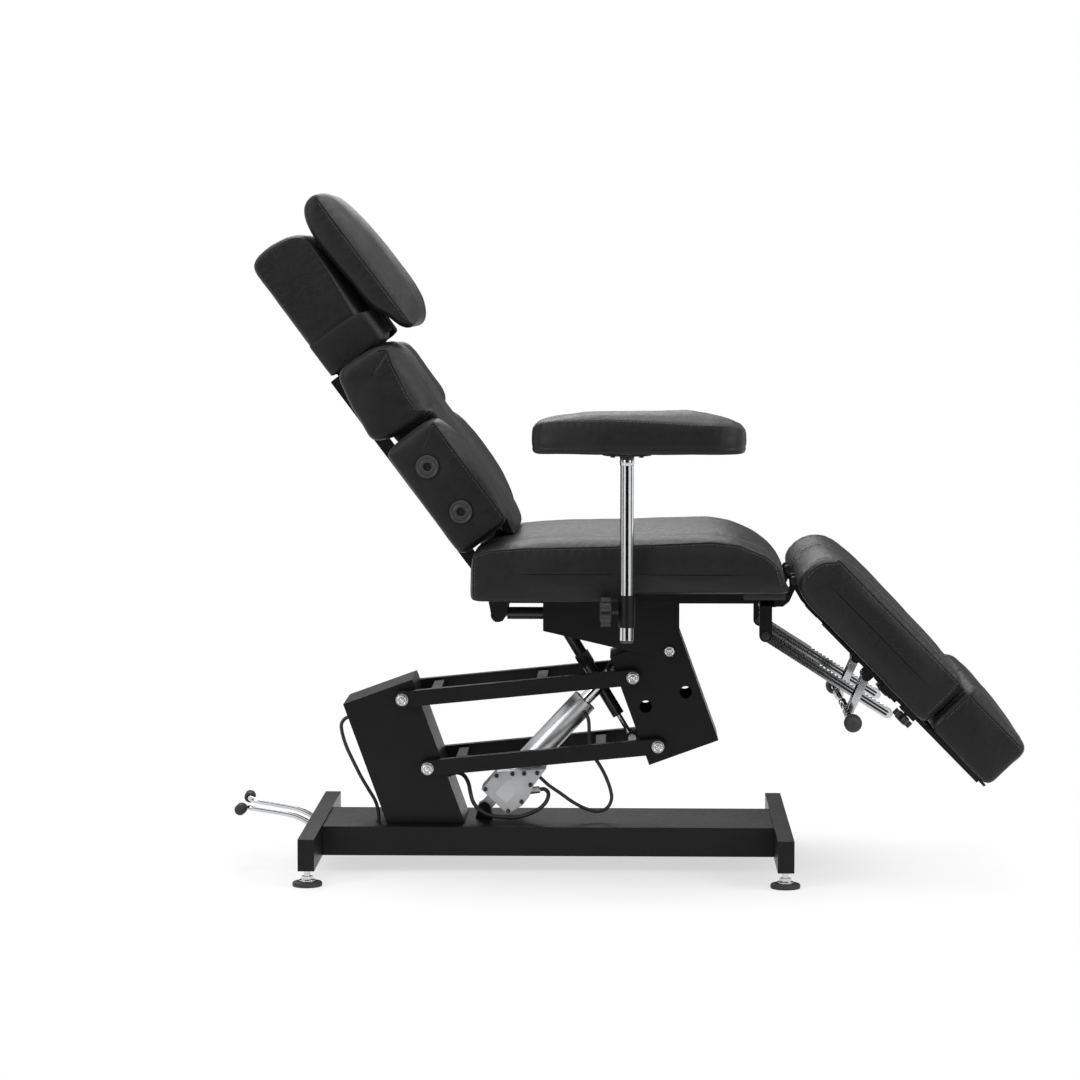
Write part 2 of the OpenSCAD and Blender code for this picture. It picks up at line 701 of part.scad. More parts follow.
plate_outline = [[-10, 530], [-10, 464], [137, 430], [229, 409], [244, 409], [252, 420], [252, 530]];
cross_tubes = [[3, 23], [141, 161], [180, 200]];
spring_head_y = spring_eye_w / 2 + 1;
seat_ear_y = [86, 162];
seat_ear_w = 8;
leg_ear_y = [95, 153];
seat_ear = [[430, 520], [430, 540.5], [455, 540.5], [463, 552.5], [461, 572], [474, 572], [475.5, 566], [459, 530],
            [447, 520]];
hanger_t = 4;

// A pair of plates hanging from the seat frame round pivot p, centred on y
module hanging_ears(p, y, gap, t, r, top) {
    for (y0 = [y - gap - t, y + gap]) {
        block([p[0] - r, y0, p[1]], [p[0] + r, y0 + t, top]);
        bar_y(p, r, y0, y0 + t);
    }
}

module seat_frame() {
    color("#1c1c1e") difference() {
        union() {
            both_sides() {
                tube_x([rail_x0, rail_y0, rail_z0], [rail_x1, rail_y1, board_z]);
                slab_y(plate_outline, plate_y0, plate_y0 + plate_t);
                // rear hinge lug
                slab_y([[-99, board_z - 2], [-72, board_z - 2], [PH[0] + 13, PH[1]], [PH[0] - 13, PH[1]]], 74, 82);
                bar_y(PH, 13, 74, 82);
                // outrigger to the armrest sleeve
                tube_y([post_x - 10, rail_y1 - 1, 516.5], [post_x + 10, post_y - sleeve_r - 0.1, 536.5]);
                // leg hinge ears
                for (y = seat_ear_y) {
                    slab_y(seat_ear, y, y + seat_ear_w);
                    bar_y(PJ, 8, y, y + seat_ear_w);
                }
                hanging_ears(PK, ratchet_y, 3.6, hanger_t, 12, rail_z0 + 4);
            }
            for (x = cross_tubes) tube_y([x[0], -rail_y0 - 1, rail_z0 + 3], [x[1], rail_y0 + 1, board_z]);
            tube_y([402, -170, rail_z0], [434, 170, board_z]);
            hanging_ears(PT, tilt_y, spring_head_y, 5, 12, rail_z0 + 6);
            hanging_ears(PE, back_spring_y, spring_head_y, 5, 18, rail_z0 + 6);
        }
        bar_y(PR, pivot_r + fit, -plate_y0 - plate_t - EPS, plate_y0 + plate_t + EPS);
        bar_y(PH, hinge_pin_r, -100, 100);
        bar_y(PJ, leg_pin_r, -180, 180);
        bar_y(PK, spring_pin_r, -170, 170);
        bar_y(PT, spring_pin_r, tilt_y - 20, tilt_y + 20);
        bar_y(PE, spring_pin_r, back_spring_y - 20, back_spring_y + 20);
    }
}

module hinge_pins() {
    color("#c4c6c9") {
        bar_y(PH, hinge_pin_r, -86, 86);
        both_sides() {
            bar_y(PH, 11, 82, 87, 6);
            for (y = [seat_ear_y[0] - 3, leg_ear_y[1] - 3])
                bar_y(PJ, leg_pin_r, y, y + 23);
            bar_y(PJ, 7.5, seat_ear_y[0] - 3, seat_ear_y[0]);
            bar_y(PJ, 7.5, seat_ear_y[1] + seat_ear_w, seat_ear_y[1] + seat_ear_w + 3);
            bar_y(PK, spring_pin_r, ratchet_y - 12, ratchet_y + 12);
            bar_y(PK, 8, ratchet_y - 11, ratchet_y - 3.6 - hanger_t);
            bar_y(PK, 8, ratchet_y + 3.6 + hanger_t, ratchet_y + 11);
        }
        bar_y(PT, spring_pin_r, tilt_y - spring_head_y - 5, tilt_y - spring_head_y);
        bar_y(PT, spring_pin_r, tilt_y + spring_head_y, tilt_y + spring_head_y + 5);
        bar_y(PE, spring_pin_r, back_spring_y - spring_head_y - 5, back_spring_y - spring_head_y);
        bar_y(PE, spring_pin_r, back_spring_y + spring_head_y, back_spring_y + spring_head_y + 5);
    }
}

board_wide = seat_w / 2 - 15;
board_narrow = 150;
module seat_board() {
    color("#6b5138") difference() {
        union() {
            block([-130, -board_wide, board_z], [150, board_wide, board_z + board_t]);
            block([149, -board_narrow, board_z], [400, board_narrow, board_z + board_t]);
            block([370, -board_wide + 25, board_z], [448, board_wide - 25, board_z + board_t]);
        }
        block([-130 - EPS, -90, board_z - EPS], [-45, 90, board_z + board_t + EPS]);
    }
}

seat_side = [[-143, 537], [-143, 626], [-125, 640], [-109, 646], [-60, 655], [-18, 664], [20, seat_top], [330, seat_top],
             [360, 662], [403, 645], [432, 625], [447, 600], [455, 575], [460, cushion_z], [150, cushion_z], [150, 537]];
module seat_cushion() {
    h = seat_w / 2;
    color("#242426") difference() {
        intersection() {
            slab_y(seat_side, -h, h);
            slab_x([[-h, 530], [-h, 640], [-h + 22, 654], [-h + 80, 664], [-h + 130, 670],
                    [h - 130, 670], [h - 80, 664], [h - 22, 654], [h, 640], [h, 530]], -150, 470);
        }
        block([-130.3, -board_wide - GAP, 530], [150 + EPS, board_wide + GAP, cushion_z]);
        slab_y([[-150, 530], [-62, 530], [-62, 590], [-96, 602], [-116, 662], [-150, 662]], -90, 90);
    }
}

module armrest_sleeves() {
    color("#1c1c1e") for (s = [-1, 1]) difference() {
        translate([post_x, s * post_y, sleeve_z0]) cylinder(r = sleeve_r, h = sleeve_z1 - sleeve_z0);
        translate([post_x, s * post_y, sleeve_z0 - EPS]) cylinder(r = post_r + fit, h = 100);
        translate([post_x - 30, s * post_y, knob_z]) rotate([0, 90, 0]) cylinder(r = knob_screw_r + fit, h = 30);
    }
}
knob_z = 525.5;
knob_screw_r = 4;

// ---- gas springs: local x runs along the spring ----

bore_wall = 2.5;
module spring_cylinder(x0, x1) {
    difference() {
        translate([x0, 0, 0]) rotate([0, 90, 0]) cylinder(r = spring_r, h = x1 - x0);
        translate([x0 + 12, 0, 0]) rotate([0, 90, 0]) cylinder(r = spring_r - bore_wall, h = x1 - x0 - 20);
        translate([x0 - EPS, 0, 0]) rotate([0, 90, 0]) cylinder(r = spring_rod_r + fit, h = 20);
    }
}
module spring_piston_rod(x0, x1) {
    translate([x0, 0, 0]) rotate([0, 90, 0]) cylinder(r = spring_rod_r, h = x1 - x0);
}
module spring_piston(x0) {
    translate([x0, 0, 0]) rotate([0, 90, 0]) cylinder(r = spring_r - bore_wall - fit, h = 9);
}
module spring_eye(x, bore) {
    difference() {
        bar_y([x, 0], spring_eye_r, -spring_eye_w / 2, spring_eye_w / 2);
        if (bore > 0) bar_y([x, 0], bore, -spring_eye_w, spring_eye_w);
    }
}

tilt_cyl_x0 = 52;
module tilt_cylinder() {
    color("#1a1a1b") in_tilt_spring() {
        spring_cylinder(tilt_cyl_x0, tilt_len - 15);
        translate([tilt_len - 15, 0, 0]) rotate([0, 90, 0]) cylinder(r = 6, h = 10);
        spring_eye(tilt_len, 0);
        // release valve block and its pin
        difference() {
            block([tilt_cyl_x0 + 115, -14, -14], [tilt_cyl_x0 + 141, 14, 14]);
            translate([tilt_cyl_x0, 0, 0]) rotate([0, 90, 0]) cylinder(r = spring_r - 1, h = 200);
        }
    }
    color("#c9cbce") in_tilt_spring() bar_y([tilt_cyl_x0 + 128, 0], 4, -19, -14);
}
module tilt_rod() {
    color("#d2d4d6") in_tilt_spring() {
        difference() {
            union() {
                spring_eye(0, spring_pin_r + fit);
                spring_piston_rod(7, tilt_cyl_x0 + 112);
            }
            bar_y([0, 0], spring_pin_r + fit, -20, 20);
        }
        spring_piston(tilt_cyl_x0 + 108);
    }
}

back_cyl_x0 = 17;
back_cyl_x1 = 177;
module back_cylinder() {
    color("#1a1a1b") in_back_spring() difference() {
        union() {
            mirror([1, 0, 0]) spring_cylinder(-back_cyl_x1, -back_cyl_x0);
            translate([8, 0, 0]) rotate([0, 90, 0]) cylinder(r = 6, h = 12);
            spring_eye(0, 0);
        }
        bar_y([0, 0], spring_pin_r + fit, -20, 20);
    }
}
module back_rod() {
    color("#d2d4d6") in_back_spring() {
        spring_piston_rod(92, back_spring_len - 7);
        spring_piston(90);
        spring_eye(back_spring_len, 0);
    }
}

// ---- backrest: local x points forward through the pads, local z points up the backrest ----

rail_t = [-32, -17];
tongue_t = [-13, -1];
back_plate = [[-32, 70], [-17, 60], [-13, 8], [12, -12], [-31, -57], [-44.8, -61.4], [-58, -54], [-53, -34], [-32, 10]];
module back_frame() {
    color("#1c1c1e") in_back() difference() {
        union() {
            both_sides() {
                block([rail_t[0], back_rail_y0, 12], [rail_t[1], back_rail_y1, 505]);
                // tongue behind the head block
                block([rail_t[0] + 2, back_rail_y0, 486], [tongue_t[1], back_rail_y1, 506]);
                block([tongue_t[0], back_rail_y0, 505], [tongue_t[1], back_rail_y1, back_rail_top + 55]);
                block([tongue_t[0], back_rail_y0, 696], [2, back_rail_y1, 756]);
                // lever plate
                slab_y(back_plate, 52, 60);
                bar_y([0, 0], 15, 52, 60);
                bar_y(lever, 14, 52, 60);
            }
            for (z = [110, 300, 470]) block([rail_t[0], -back_rail_y0 - 1, z], [rail_t[1], back_rail_y0 + 1, z + 22]);
            // spring pin across the levers
            bar_y(lever, spring_pin_r, -53, 53);
            for (y = [back_spring_y - spring_head_y - 6, back_spring_y + spring_head_y]) bar_y(lever, 8, y, y + 6);
        }
        bar_y([0, 0], hinge_pin_r + fit, -80, 80);
    }
}

board_back_t = -5;
lower_board = [100, 328];
mid_board = [400, 485];
module back_boards() {
    color("#6b5138") in_back() {
        block([rail_t[1], -lower_pad_w / 2 + 30, lower_board[0]], [board_back_t, lower_pad_w / 2 - 30, lower_board[1]]);
        difference() {
            block([rail_t[1], -mid_pad_w / 2 + 30, mid_board[0]], [board_back_t, mid_pad_w / 2 - 30, mid_board[1]]);
            slab_y([[-18, 446], [-11, 467], [-5, 491], [-18, 491]], -200, 200);
        }
    }
}

// A pad with its front edges rounded off across its width
module pad(side, w, t_edge, t_face, t0, z0, z1) {
    h = w / 2;
    intersection() {
        slab_y(side, -h, h);
        translate([0, 0, z0]) linear_extrude(z1 - z0)
            polygon([[t0, -h], [t_edge, -h], [(t_edge + t_face) / 2, -h + 12], [t_face - 8, -h + 36], [t_face, -h + 90],
                     [t_face, h - 90], [t_face - 8, h - 36], [(t_edge + t_face) / 2, h - 12], [t_edge, h], [t0, h]]);
    }
}

lower_side = [[-16.6, 93], [94, 93], [112, 128], [122, 162], [128, 208], [128, 256], [122, 295], [112, 320], [94, 335],
              [-16.6, 335]];
socket_z = [161, 266];
socket_t = 34;
socket_len = 60;
module lower_back_pad() {
    color("#242426") in_back() difference() {
        pad(lower_side, lower_pad_w, 94, 128, -17, 90, 340);
        block([-18, -lower_pad_w / 2 + 30 - GAP, lower_board[0] - GAP],
              [board_back_t + GAP, lower_pad_w / 2 - 30 + GAP, lower_board[1] + GAP]);
        for (s = [-1, 1], z = socket_z)
            bar_y([socket_t, z], socket_r + 4.5 + GAP,
                  s * lower_pad_w / 2 - socket_len - 1, s * lower_pad_w / 2 + socket_len + 1);
    }
}

module accessory_sockets() {
    w = lower_pad_w / 2;
    color("#1a1a1b") in_back() for (s = [0, 1], z = socket_z) mirror([0, s, 0]) difference() {
        union() {
            bar_y([socket_t, z], socket_r + 4.5, w - socket_len, w);
            bar_y([socket_t, z], 20, w + 0.2, w + 3.2);
            bar_y([socket_t, z], socket_r + 4.5, w - 1, w + 1);
        }
        bar_y([socket_t, z], socket_r, w - socket_len + 4, w + 10);
    }
}

mid_side = [[-26, 371], [-24, 365], [6, 347], [79, 341], [84, 340], [112, 344], [124, 352], [128, 372], [128, 458], [123, 484],
            [108, 494.5], [94, 504.5], [24, 511.2], [7, 510.2], [-5, 499.5], [-11, 467], [-17, 447], [-19, 417]];
module mid_back_pad() {
    color("#242426") in_back() difference() {
        pad(mid_side, mid_pad_w, 90, 128, -30, 330, 520);
        block([-30, -mid_pad_w / 2 + 30 - GAP, mid_board[0] - GAP],
              [board_back_t + GAP, mid_pad_w / 2 - 30 + GAP, mid_board[1] + GAP]);
        for (s = [0, 1]) mirror([0, s, 0])
            block([-34, back_rail_y0 - GAP, 330], [tongue_t[1] + GAP, back_rail_y1 + GAP, 520]);
        block([-34, -back_rail_y0 - EPS, 330], [rail_t[1] + GAP, back_rail_y0 + EPS, 520]);
    }
}

head_side = [[17, 513], [4, 523], [2.3, 541], [2.3, 761], [9, 769], [34, 775], [96, 766], [106, 750], [112, 566], [112, 532],
             [108, 513], [88, 506]];
module head_block() {
    color("#242426") in_back() slab_y(head_side, -head_w / 2, head_w / 2);
}

pillow_side = [[121, 782], [136, 806], [168, 810], [184, 797], [191, 783], [197, 743], [202, 695], [203, 624], [202, 532],
               [185, 497], [158, 489], [140, 513], [140, 531], [122, 567], [113, 740]];
module head_pillow() {
    h = pillow_w / 2;
    color("#242426") in_back() intersection() {
        slab_y(pillow_side, -h, h);
        translate([0, 0, 480]) linear_extrude(340)
            polygon([[100, -h], [165, -h], [185, -h + 10], [198, -h + 34], [204, -h + 80],
                     [204, h - 80], [198, h - 34], [185, h - 10], [165, h], [100, h]]);
    }
}

strap_z = [523, 578];
module pillow_strap() {
    h = head_w / 2;
    color("#1a1a1b") in_back() difference() {
        block([-0.4, -h - 2.4, strap_z[0]], [160, h + 2.4, strap_z[1]]);
        block([1.6, -h - 0.4, strap_z[0] - 1], [161, h + 0.4, strap_z[1] + 1]);
    }
}

// ---- leg rests: local x runs down the leg rest, local z up through the pad, local y outward ----

module leg_side(s) {
    scale_side(s) translate([0, ratchet_y, 0]) in_leg() children();
}
flat = [-17, -11];              // from and to, through the flat bars of the leg frame
flat_y = [34, 58];
rail_w = 20;
foot_rail = [-19, -13];
guide = [251, 290];
clamp = [305, 340];
latch_gap = 23.5;
latch_t = 5;
latch_pin_r = 5;
leg_ear = [[0, 8], [28, -11], [70, -11], [70, -17], [36, -17], [-5, -6.5]];

module guide_block(x, y) {
    difference() {
        block([x[0], y - 14, -24], [x[1], y + 14, -10.6]);
        block([x[0] - EPS, y - rail_w / 2 - fit, foot_rail[0] - fit], [x[1] + EPS, y + rail_w / 2 + fit, foot_rail[1] + fit]);
    }
}

module leg_frame(s) {
    color("#1c1c1e") leg_side(s) difference() {
        union() {
            for (y = [-1, 1]) {
                block([44, y > 0 ? flat_y[0] : -flat_y[1], flat[0]], [340, y > 0 ? flat_y[1] : -flat_y[0], flat[1]]);
                guide_block(guide, y * 70);
            }
            block([44, -88, flat[0]], [72, 88, flat[1]]);
            block([205, -flat_y[1], flat[0]], [245, flat_y[1], flat[1]]);
            block([guide[0], -flat_y[1], flat[0]], [guide[1], flat_y[1], flat[1]]);
            guide_block(clamp, 70);
            for (y = [leg_ear_y[0] - ratchet_y, leg_ear_y[1] - ratchet_y]) {
                slab_y(leg_ear, y, y + seat_ear_w);
                bar_y([0, 0], 8, y, y + seat_ear_w);
            }
            // latch ears
            for (y = [-latch_gap - latch_t, latch_gap]) {
                block([latch[0] - 10, y, latch[1]], [latch[0] + 10, y + latch_t, flat[1]]);
                bar_y(latch, 10, y, y + latch_t);
            }
            bar_y(latch, latch_pin_r, -latch_gap - latch_t - 3, latch_gap + latch_t + 3);
            bar_y(latch, 8, latch_gap + latch_t, latch_gap + latch_t + 3);
            bar_y(latch, 8, -latch_gap - latch_t - 3, -latch_gap - latch_t);
        }
        bar_y([0, 0], leg_pin_r + fit, -100, 100);
        translate([322, 70, -30]) cylinder(r = knob_screw_r + fit, h = 30 + foot_rail[0] + 1);
    }
}
module leg_frame_near() { leg_frame(NEAR); }
module leg_frame_far() { leg_frame(FAR); }

calf_side = [[30, -10], [-41, 38], [-44, 66], [-29, 97], [0, 104], [calf_len - 17, 104], [calf_len, 89], [calf_len, -10]];
module calf_pad(s) {
    h = leg_w / 2;
    color("#242426") leg_side(s) intersection() {
        slab_y(calf_side, -h, h);
        slab_x([[-h, -12], [-h, 88], [-h + 14, 104], [h - 14, 104], [h, 88], [h, -12]], -60, calf_len + 10);
    }
}
module calf_pad_near() { calf_pad(NEAR); }
module calf_pad_far() { calf_pad(FAR); }

foot_x0 = calf_len + 5;
module foot_frame(s) {
    color("#1c1c1e") leg_side(s) {
        for (y = [-70, 70]) block([90, y - rail_w / 2, foot_rail[0]], [foot_x0 + foot_len - 12, y + rail_w / 2, foot_rail[1]]);
        block([foot_x0 + 8, -leg_w / 2 + 15, -13], [foot_x0 + foot_len - 6, leg_w / 2 - 15, -8.3]);
    }
}
module foot_frame_near() { foot_frame(NEAR); }
module foot_frame_far() { foot_frame(FAR); }

module foot_pad(s) {
    h = leg_w / 2;
    e = foot_x0 + foot_len;
    color("#242426") leg_side(s) intersection() {
        slab_y([[foot_x0, -8], [foot_x0, 95], [foot_x0 + 8, 111], [foot_x0 + 28, 115], [e - 54, 105], [e - 7, 97],
                [e + 3, 87], [e - 1, 65], [e - 1, -8]], -h, h);
        slab_x([[-h, -12], [-h, 88], [-h + 20, 116], [h - 20, 116], [h, 88], [h, -12]], foot_x0 - 10, e + 10);
    }
}
module foot_pad_near() { foot_pad(NEAR); }
module foot_pad_far() { foot_pad(FAR); }

tooth_x0 = 118;
tooth_h = 3.5;
module ratchet_bar(s) {
    n = floor((ratchet_len - 12 - tooth_x0) / tooth_pitch);
    teeth = [for (i = [0 : n - 1]) each [[tooth_x0 + i * tooth_pitch, 10 - tooth_h],
                                         [tooth_x0 + (i + 0.75) * tooth_pitch, 10]]];
    color("#c9cbce") scale_side(s) in_ratchet() difference() {
        union() {
            slab_y(concat([[0, 10], [tooth_x0 - 1, 10]], teeth,
                          [[ratchet_len - 8, 10], [ratchet_len, 4], [ratchet_len, -4], [ratchet_len - 8, -10], [0, -10]]), -3, 3);
            bar_y([0, 0], 10, -3, 3);
        }
        bar_y([0, 0], spring_pin_r + fit, -5, 5);
    }
}
module ratchet_bar_near() { ratchet_bar(NEAR); }
module ratchet_bar_far() { ratchet_bar(FAR); }

module release_lever(s) {
    link = [[latch[0] - 8, latch[1]], [latch[0] + 8, latch[1]], [release_bar[0] + 7, release_bar[1]],
            [release_bar[0] - 7, release_bar[1]]];
    color("#c9cbce") leg_side(s) {
        for (y = [-22.5, 17.5]) difference() {
            union() {
                slab_y(link, y, y + 5);
                bar_y(latch, 9, y, y + 5);
                bar_y(release_bar, 9, y, y + 5);
            }
            bar_y(latch, latch_pin_r + fit, y - 1, y + 6);
        }
        bar_y(release_bar, 5, -118, 124);
        translate([release_bar[0], -122, release_bar[1]]) sphere(r = 8);
    }
    color("#1a1a1b") leg_side(s) translate([release_bar[0], 121, release_bar[1]]) rotate([-90, 0, 0])
        rotate_extrude() polygon([[0, 0], [9, 0], [13, 4], [16, 14], [16, 26], [13, 35], [8, 39], [0, 39]]);
}
module release_lever_near() { release_lever(NEAR); }
module release_lever_far() { release_lever(FAR); }

module extension_knob(s) {
    color("#1a1a1b") leg_side(s) translate([322, 70, 0]) {
        translate([0, 0, -27]) cylinder(r = knob_screw_r, h = 27 + foot_rail[0] - 0.1);
        translate([0, 0, -42]) cylinder(r = 12, h = 16);
        for (a = [0 : 72 : 359]) rotate([0, 0, a]) translate([14, 0, -40]) cylinder(r = 8, h = 12);
    }
}
module extension_knob_near() { extension_knob(NEAR); }
module extension_knob_far() { extension_knob(FAR); }

// ---- armrest ----

module armrest_post() {
    color("#c9cbce") translate([post_x, -post_y, post_z0]) {
        cylinder(r = post_r, h = post_z1 - post_z0);
    }
    color("#1a1a1b") translate([post_x, -post_y, post_z0 - 4]) cylinder(r = post_r - 0.5, h = 4);
}

module armrest_pad() {
    e = arm_pad_x0 + arm_pad_len;
    h = arm_pad_w / 2;
    color("#242426") intersection() {
        slab_y([[arm_pad_x0 + 10, 820], [arm_pad_x0, 834], [arm_pad_x0 + 2, 856], [arm_pad_x0 + 16, 872],
                [arm_pad_x0 + 50, 884], [arm_pad_x0 + 120, 893], [e - 110, 891], [e - 40, 882], [e - 8, 868],
                [e, 850], [e - 2, 834], [e - 12, 820]], -post_y - h - 5, -post_y + h + 5);
        translate([0, -post_y, 815]) linear_extrude(90)
            polygon([[arm_pad_x0, -h + 42], [arm_pad_x0 + 18, -h + 22], [arm_pad_x0 + 120, -h + 6], [arm_pad_x0 + 220, -h],
                     [e - 50, -h], [e - 14, -h + 14], [e, -h + 40], [e, h - 40], [e - 14, h - 14], [e - 50, h],
                     [arm_pad_x0 + 220, h], [arm_pad_x0 + 120, h - 6], [arm_pad_x0 + 18, h - 22], [arm_pad_x0, h - 42]]);
    }
    color("#1c1c1e") translate([post_x, -post_y, 0]) difference() {
        union() {
            translate([0, 0, 780]) cylinder(r = 18, h = 34);
            translate([0, 0, 814]) cylinder(r = 50, h = 5.7);
        }
        translate([0, 0, 779]) cylinder(r = post_r + fit, h = post_z1 - 779 + 0.1);
    }
}

module clamp_knob() {
    color("#1a1a1b") translate([post_x, -post_y, knob_z]) rotate([0, -90, 0]) {
        translate([0, 0, post_r + 0.1]) cylinder(r = knob_screw_r, h = 20);
        translate([0, 0, 29]) cylinder(r = 19, h = 21);
        for (a = [0 : 60 : 359]) rotate([0, 0, a]) translate([18.5, 0, 30]) cylinder(r = 9, h = 18);
    }
}

base_beam();
base_crossbars();
column();
control_box();
power_inlet();
pedal_shaft();
actuator_bracket();
column_pivots();
motor_cables();
actuator_cable();
levelling_foot_head_near();
levelling_foot_head_far();
levelling_foot_toe_near();
levelling_foot_toe_far();
pedal_near();
pedal_far();
upper_arm();
lower_arm();
carriage();
carriage_pivots();
lift_gearbox();
gearbox_cover();
lift_tube();
lift_motor();
lift_leadscrew();
lift_rod();
seat_frame();
seat_board();
seat_cushion();
armrest_sleeves();
hinge_pins();
tilt_cylinder();
tilt_rod();
back_frame();
back_boards();
lower_back_pad();
mid_back_pad();
head_block();
accessory_sockets();
head_pillow();
pillow_strap();
back_cylinder();
back_rod();
leg_frame_near();
leg_frame_far();
calf_pad_near();
calf_pad_far();
foot_frame_near();
foot_frame_far();
foot_pad_near();
foot_pad_far();
ratchet_bar_near();
ratchet_bar_far();
release_lever_near();
release_lever_far();
extension_knob_near();
extension_knob_far();
armrest_post();
armrest_pad();
clamp_knob();
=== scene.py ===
# The tattoo chair's looks: materials, cushions, cables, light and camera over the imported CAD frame.
import json
import math
import bpy
import bmesh
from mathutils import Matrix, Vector, noise
from mathutils.bvhtree import BVHTree
from mathutils.kdtree import KDTree

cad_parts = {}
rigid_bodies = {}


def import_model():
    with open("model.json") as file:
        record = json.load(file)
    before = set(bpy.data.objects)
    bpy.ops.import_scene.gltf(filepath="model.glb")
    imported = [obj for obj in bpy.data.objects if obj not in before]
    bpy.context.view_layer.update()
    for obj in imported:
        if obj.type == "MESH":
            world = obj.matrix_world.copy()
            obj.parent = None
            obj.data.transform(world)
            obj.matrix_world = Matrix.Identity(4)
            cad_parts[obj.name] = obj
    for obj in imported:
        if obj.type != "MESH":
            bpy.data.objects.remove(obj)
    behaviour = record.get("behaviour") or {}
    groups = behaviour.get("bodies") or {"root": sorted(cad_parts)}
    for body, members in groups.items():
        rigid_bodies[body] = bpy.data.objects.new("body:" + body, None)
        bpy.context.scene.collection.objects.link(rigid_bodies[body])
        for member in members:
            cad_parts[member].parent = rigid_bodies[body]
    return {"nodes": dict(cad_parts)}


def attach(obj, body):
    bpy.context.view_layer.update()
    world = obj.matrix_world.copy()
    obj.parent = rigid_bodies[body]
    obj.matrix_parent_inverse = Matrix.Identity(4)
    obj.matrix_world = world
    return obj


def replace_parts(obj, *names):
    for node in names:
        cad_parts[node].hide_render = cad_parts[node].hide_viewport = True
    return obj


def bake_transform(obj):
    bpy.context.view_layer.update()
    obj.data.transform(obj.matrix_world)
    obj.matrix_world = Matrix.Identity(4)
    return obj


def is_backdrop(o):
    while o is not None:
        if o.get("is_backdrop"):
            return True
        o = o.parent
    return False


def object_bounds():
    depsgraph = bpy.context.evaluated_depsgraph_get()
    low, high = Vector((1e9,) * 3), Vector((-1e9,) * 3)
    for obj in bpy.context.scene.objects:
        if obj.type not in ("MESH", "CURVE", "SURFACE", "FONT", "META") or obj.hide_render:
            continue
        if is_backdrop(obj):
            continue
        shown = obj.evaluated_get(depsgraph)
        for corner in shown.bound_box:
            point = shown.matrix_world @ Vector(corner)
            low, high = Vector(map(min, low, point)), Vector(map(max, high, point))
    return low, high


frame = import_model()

for leftover in [o for o in bpy.data.objects if o.name in ("Cube", "Light", "Camera")]:
    bpy.data.objects.remove(leftover)
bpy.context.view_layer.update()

scene = bpy.context.scene
MM = 0.001
UP = Vector((0, 0, 1))
NEAR, FAR = -1, 1
SIDES = (("near", NEAR), ("far", FAR))


def point(x, y, z):
    return Vector((x * MM, y * MM, z * MM))


def smooth(x, a=0.0, b=1.0):
    """0 below a, 1 above b, and an even turn between them."""
    t = min(1.0, max(0.0, (x - a) / (b - a)))
    return t * t * (3 - 2 * t)


def along(table, x):
    """The value at x of a table of (x, value) rows, straight between rows."""
    if x <= table[0][0]:
        return table[0][1]
    for (x0, v0), (x1, v1) in zip(table, table[1:]):
        if x <= x1:
            return v0 + (v1 - v0) * (x - x0) / (x1 - x0)
    return table[-1][1]


# ---- camera ----

YAW, PITCH = math.radians(1.479), math.radians(4.457)
camera = bpy.data.objects.new("camera", bpy.data.cameras.new("camera"))
scene.collection.objects.link(camera)
camera.location = (0.1512, -6.557, 1.144)
forward = Vector((-math.sin(YAW) * math.cos(PITCH), math.cos(YAW) * math.cos(PITCH), -math.sin(PITCH)))
camera.rotation_euler = forward.to_track_quat("-Z", "Y").to_euler()
camera.data.sensor_width = 36
camera.data.lens = 112.7
camera.data.clip_end = 200
scene.camera = camera


# ---- materials ----

class Graph:
    """A small helper over the node tree of a material or a world."""

    def __init__(self, owner, output="ShaderNodeOutputMaterial"):
        owner.use_nodes = True
        self.owner, self.tree = owner, owner.node_tree
        self.tree.nodes.clear()
        self.out = self.add(output)

    def add(self, kind, inputs=(), **values):
        node = self.tree.nodes.new(kind)
        for key, value in values.items():
            setattr(node, key, value)
        for key, value in dict(inputs).items():
            node.inputs[key].default_value = value
        return node

    def link(self, a, out, b, into):
        self.tree.links.new(a.outputs[out], b.inputs[into])

    def span(self, source, out, low, high, from_low=0.3, from_high=0.7):
        node = self.add("ShaderNodeMapRange",
                        {"From Min": from_low, "From Max": from_high, "To Min": low, "To Max": high})
        self.link(source, out, node, "Value")
        return node

    def seen_plainly(self):
        """A node that is 1 for the camera's, glossy and transmission rays, which see the plain background, else 0."""
        path = self.add("ShaderNodeLightPath")
        node, out = path, "Is Camera Ray"
        for ray in ("Is Glossy Ray", "Is Transmission Ray"):
            most = self.add("ShaderNodeMath", operation="MAXIMUM")
            self.link(node, out, most, 0)
            self.link(path, ray, most, 1)
            node, out = most, "Value"
        return node

    def mixed(self, share, first, second):
        """Shows the second shader over the first by the share."""
        mix = self.add("ShaderNodeMixShader")
        self.link(share, "Value", mix, "Fac")
        self.link(first, 0, mix, 1)
        self.link(second, 0, mix, 2)
        self.link(mix, "Shader", self.out, "Surface")


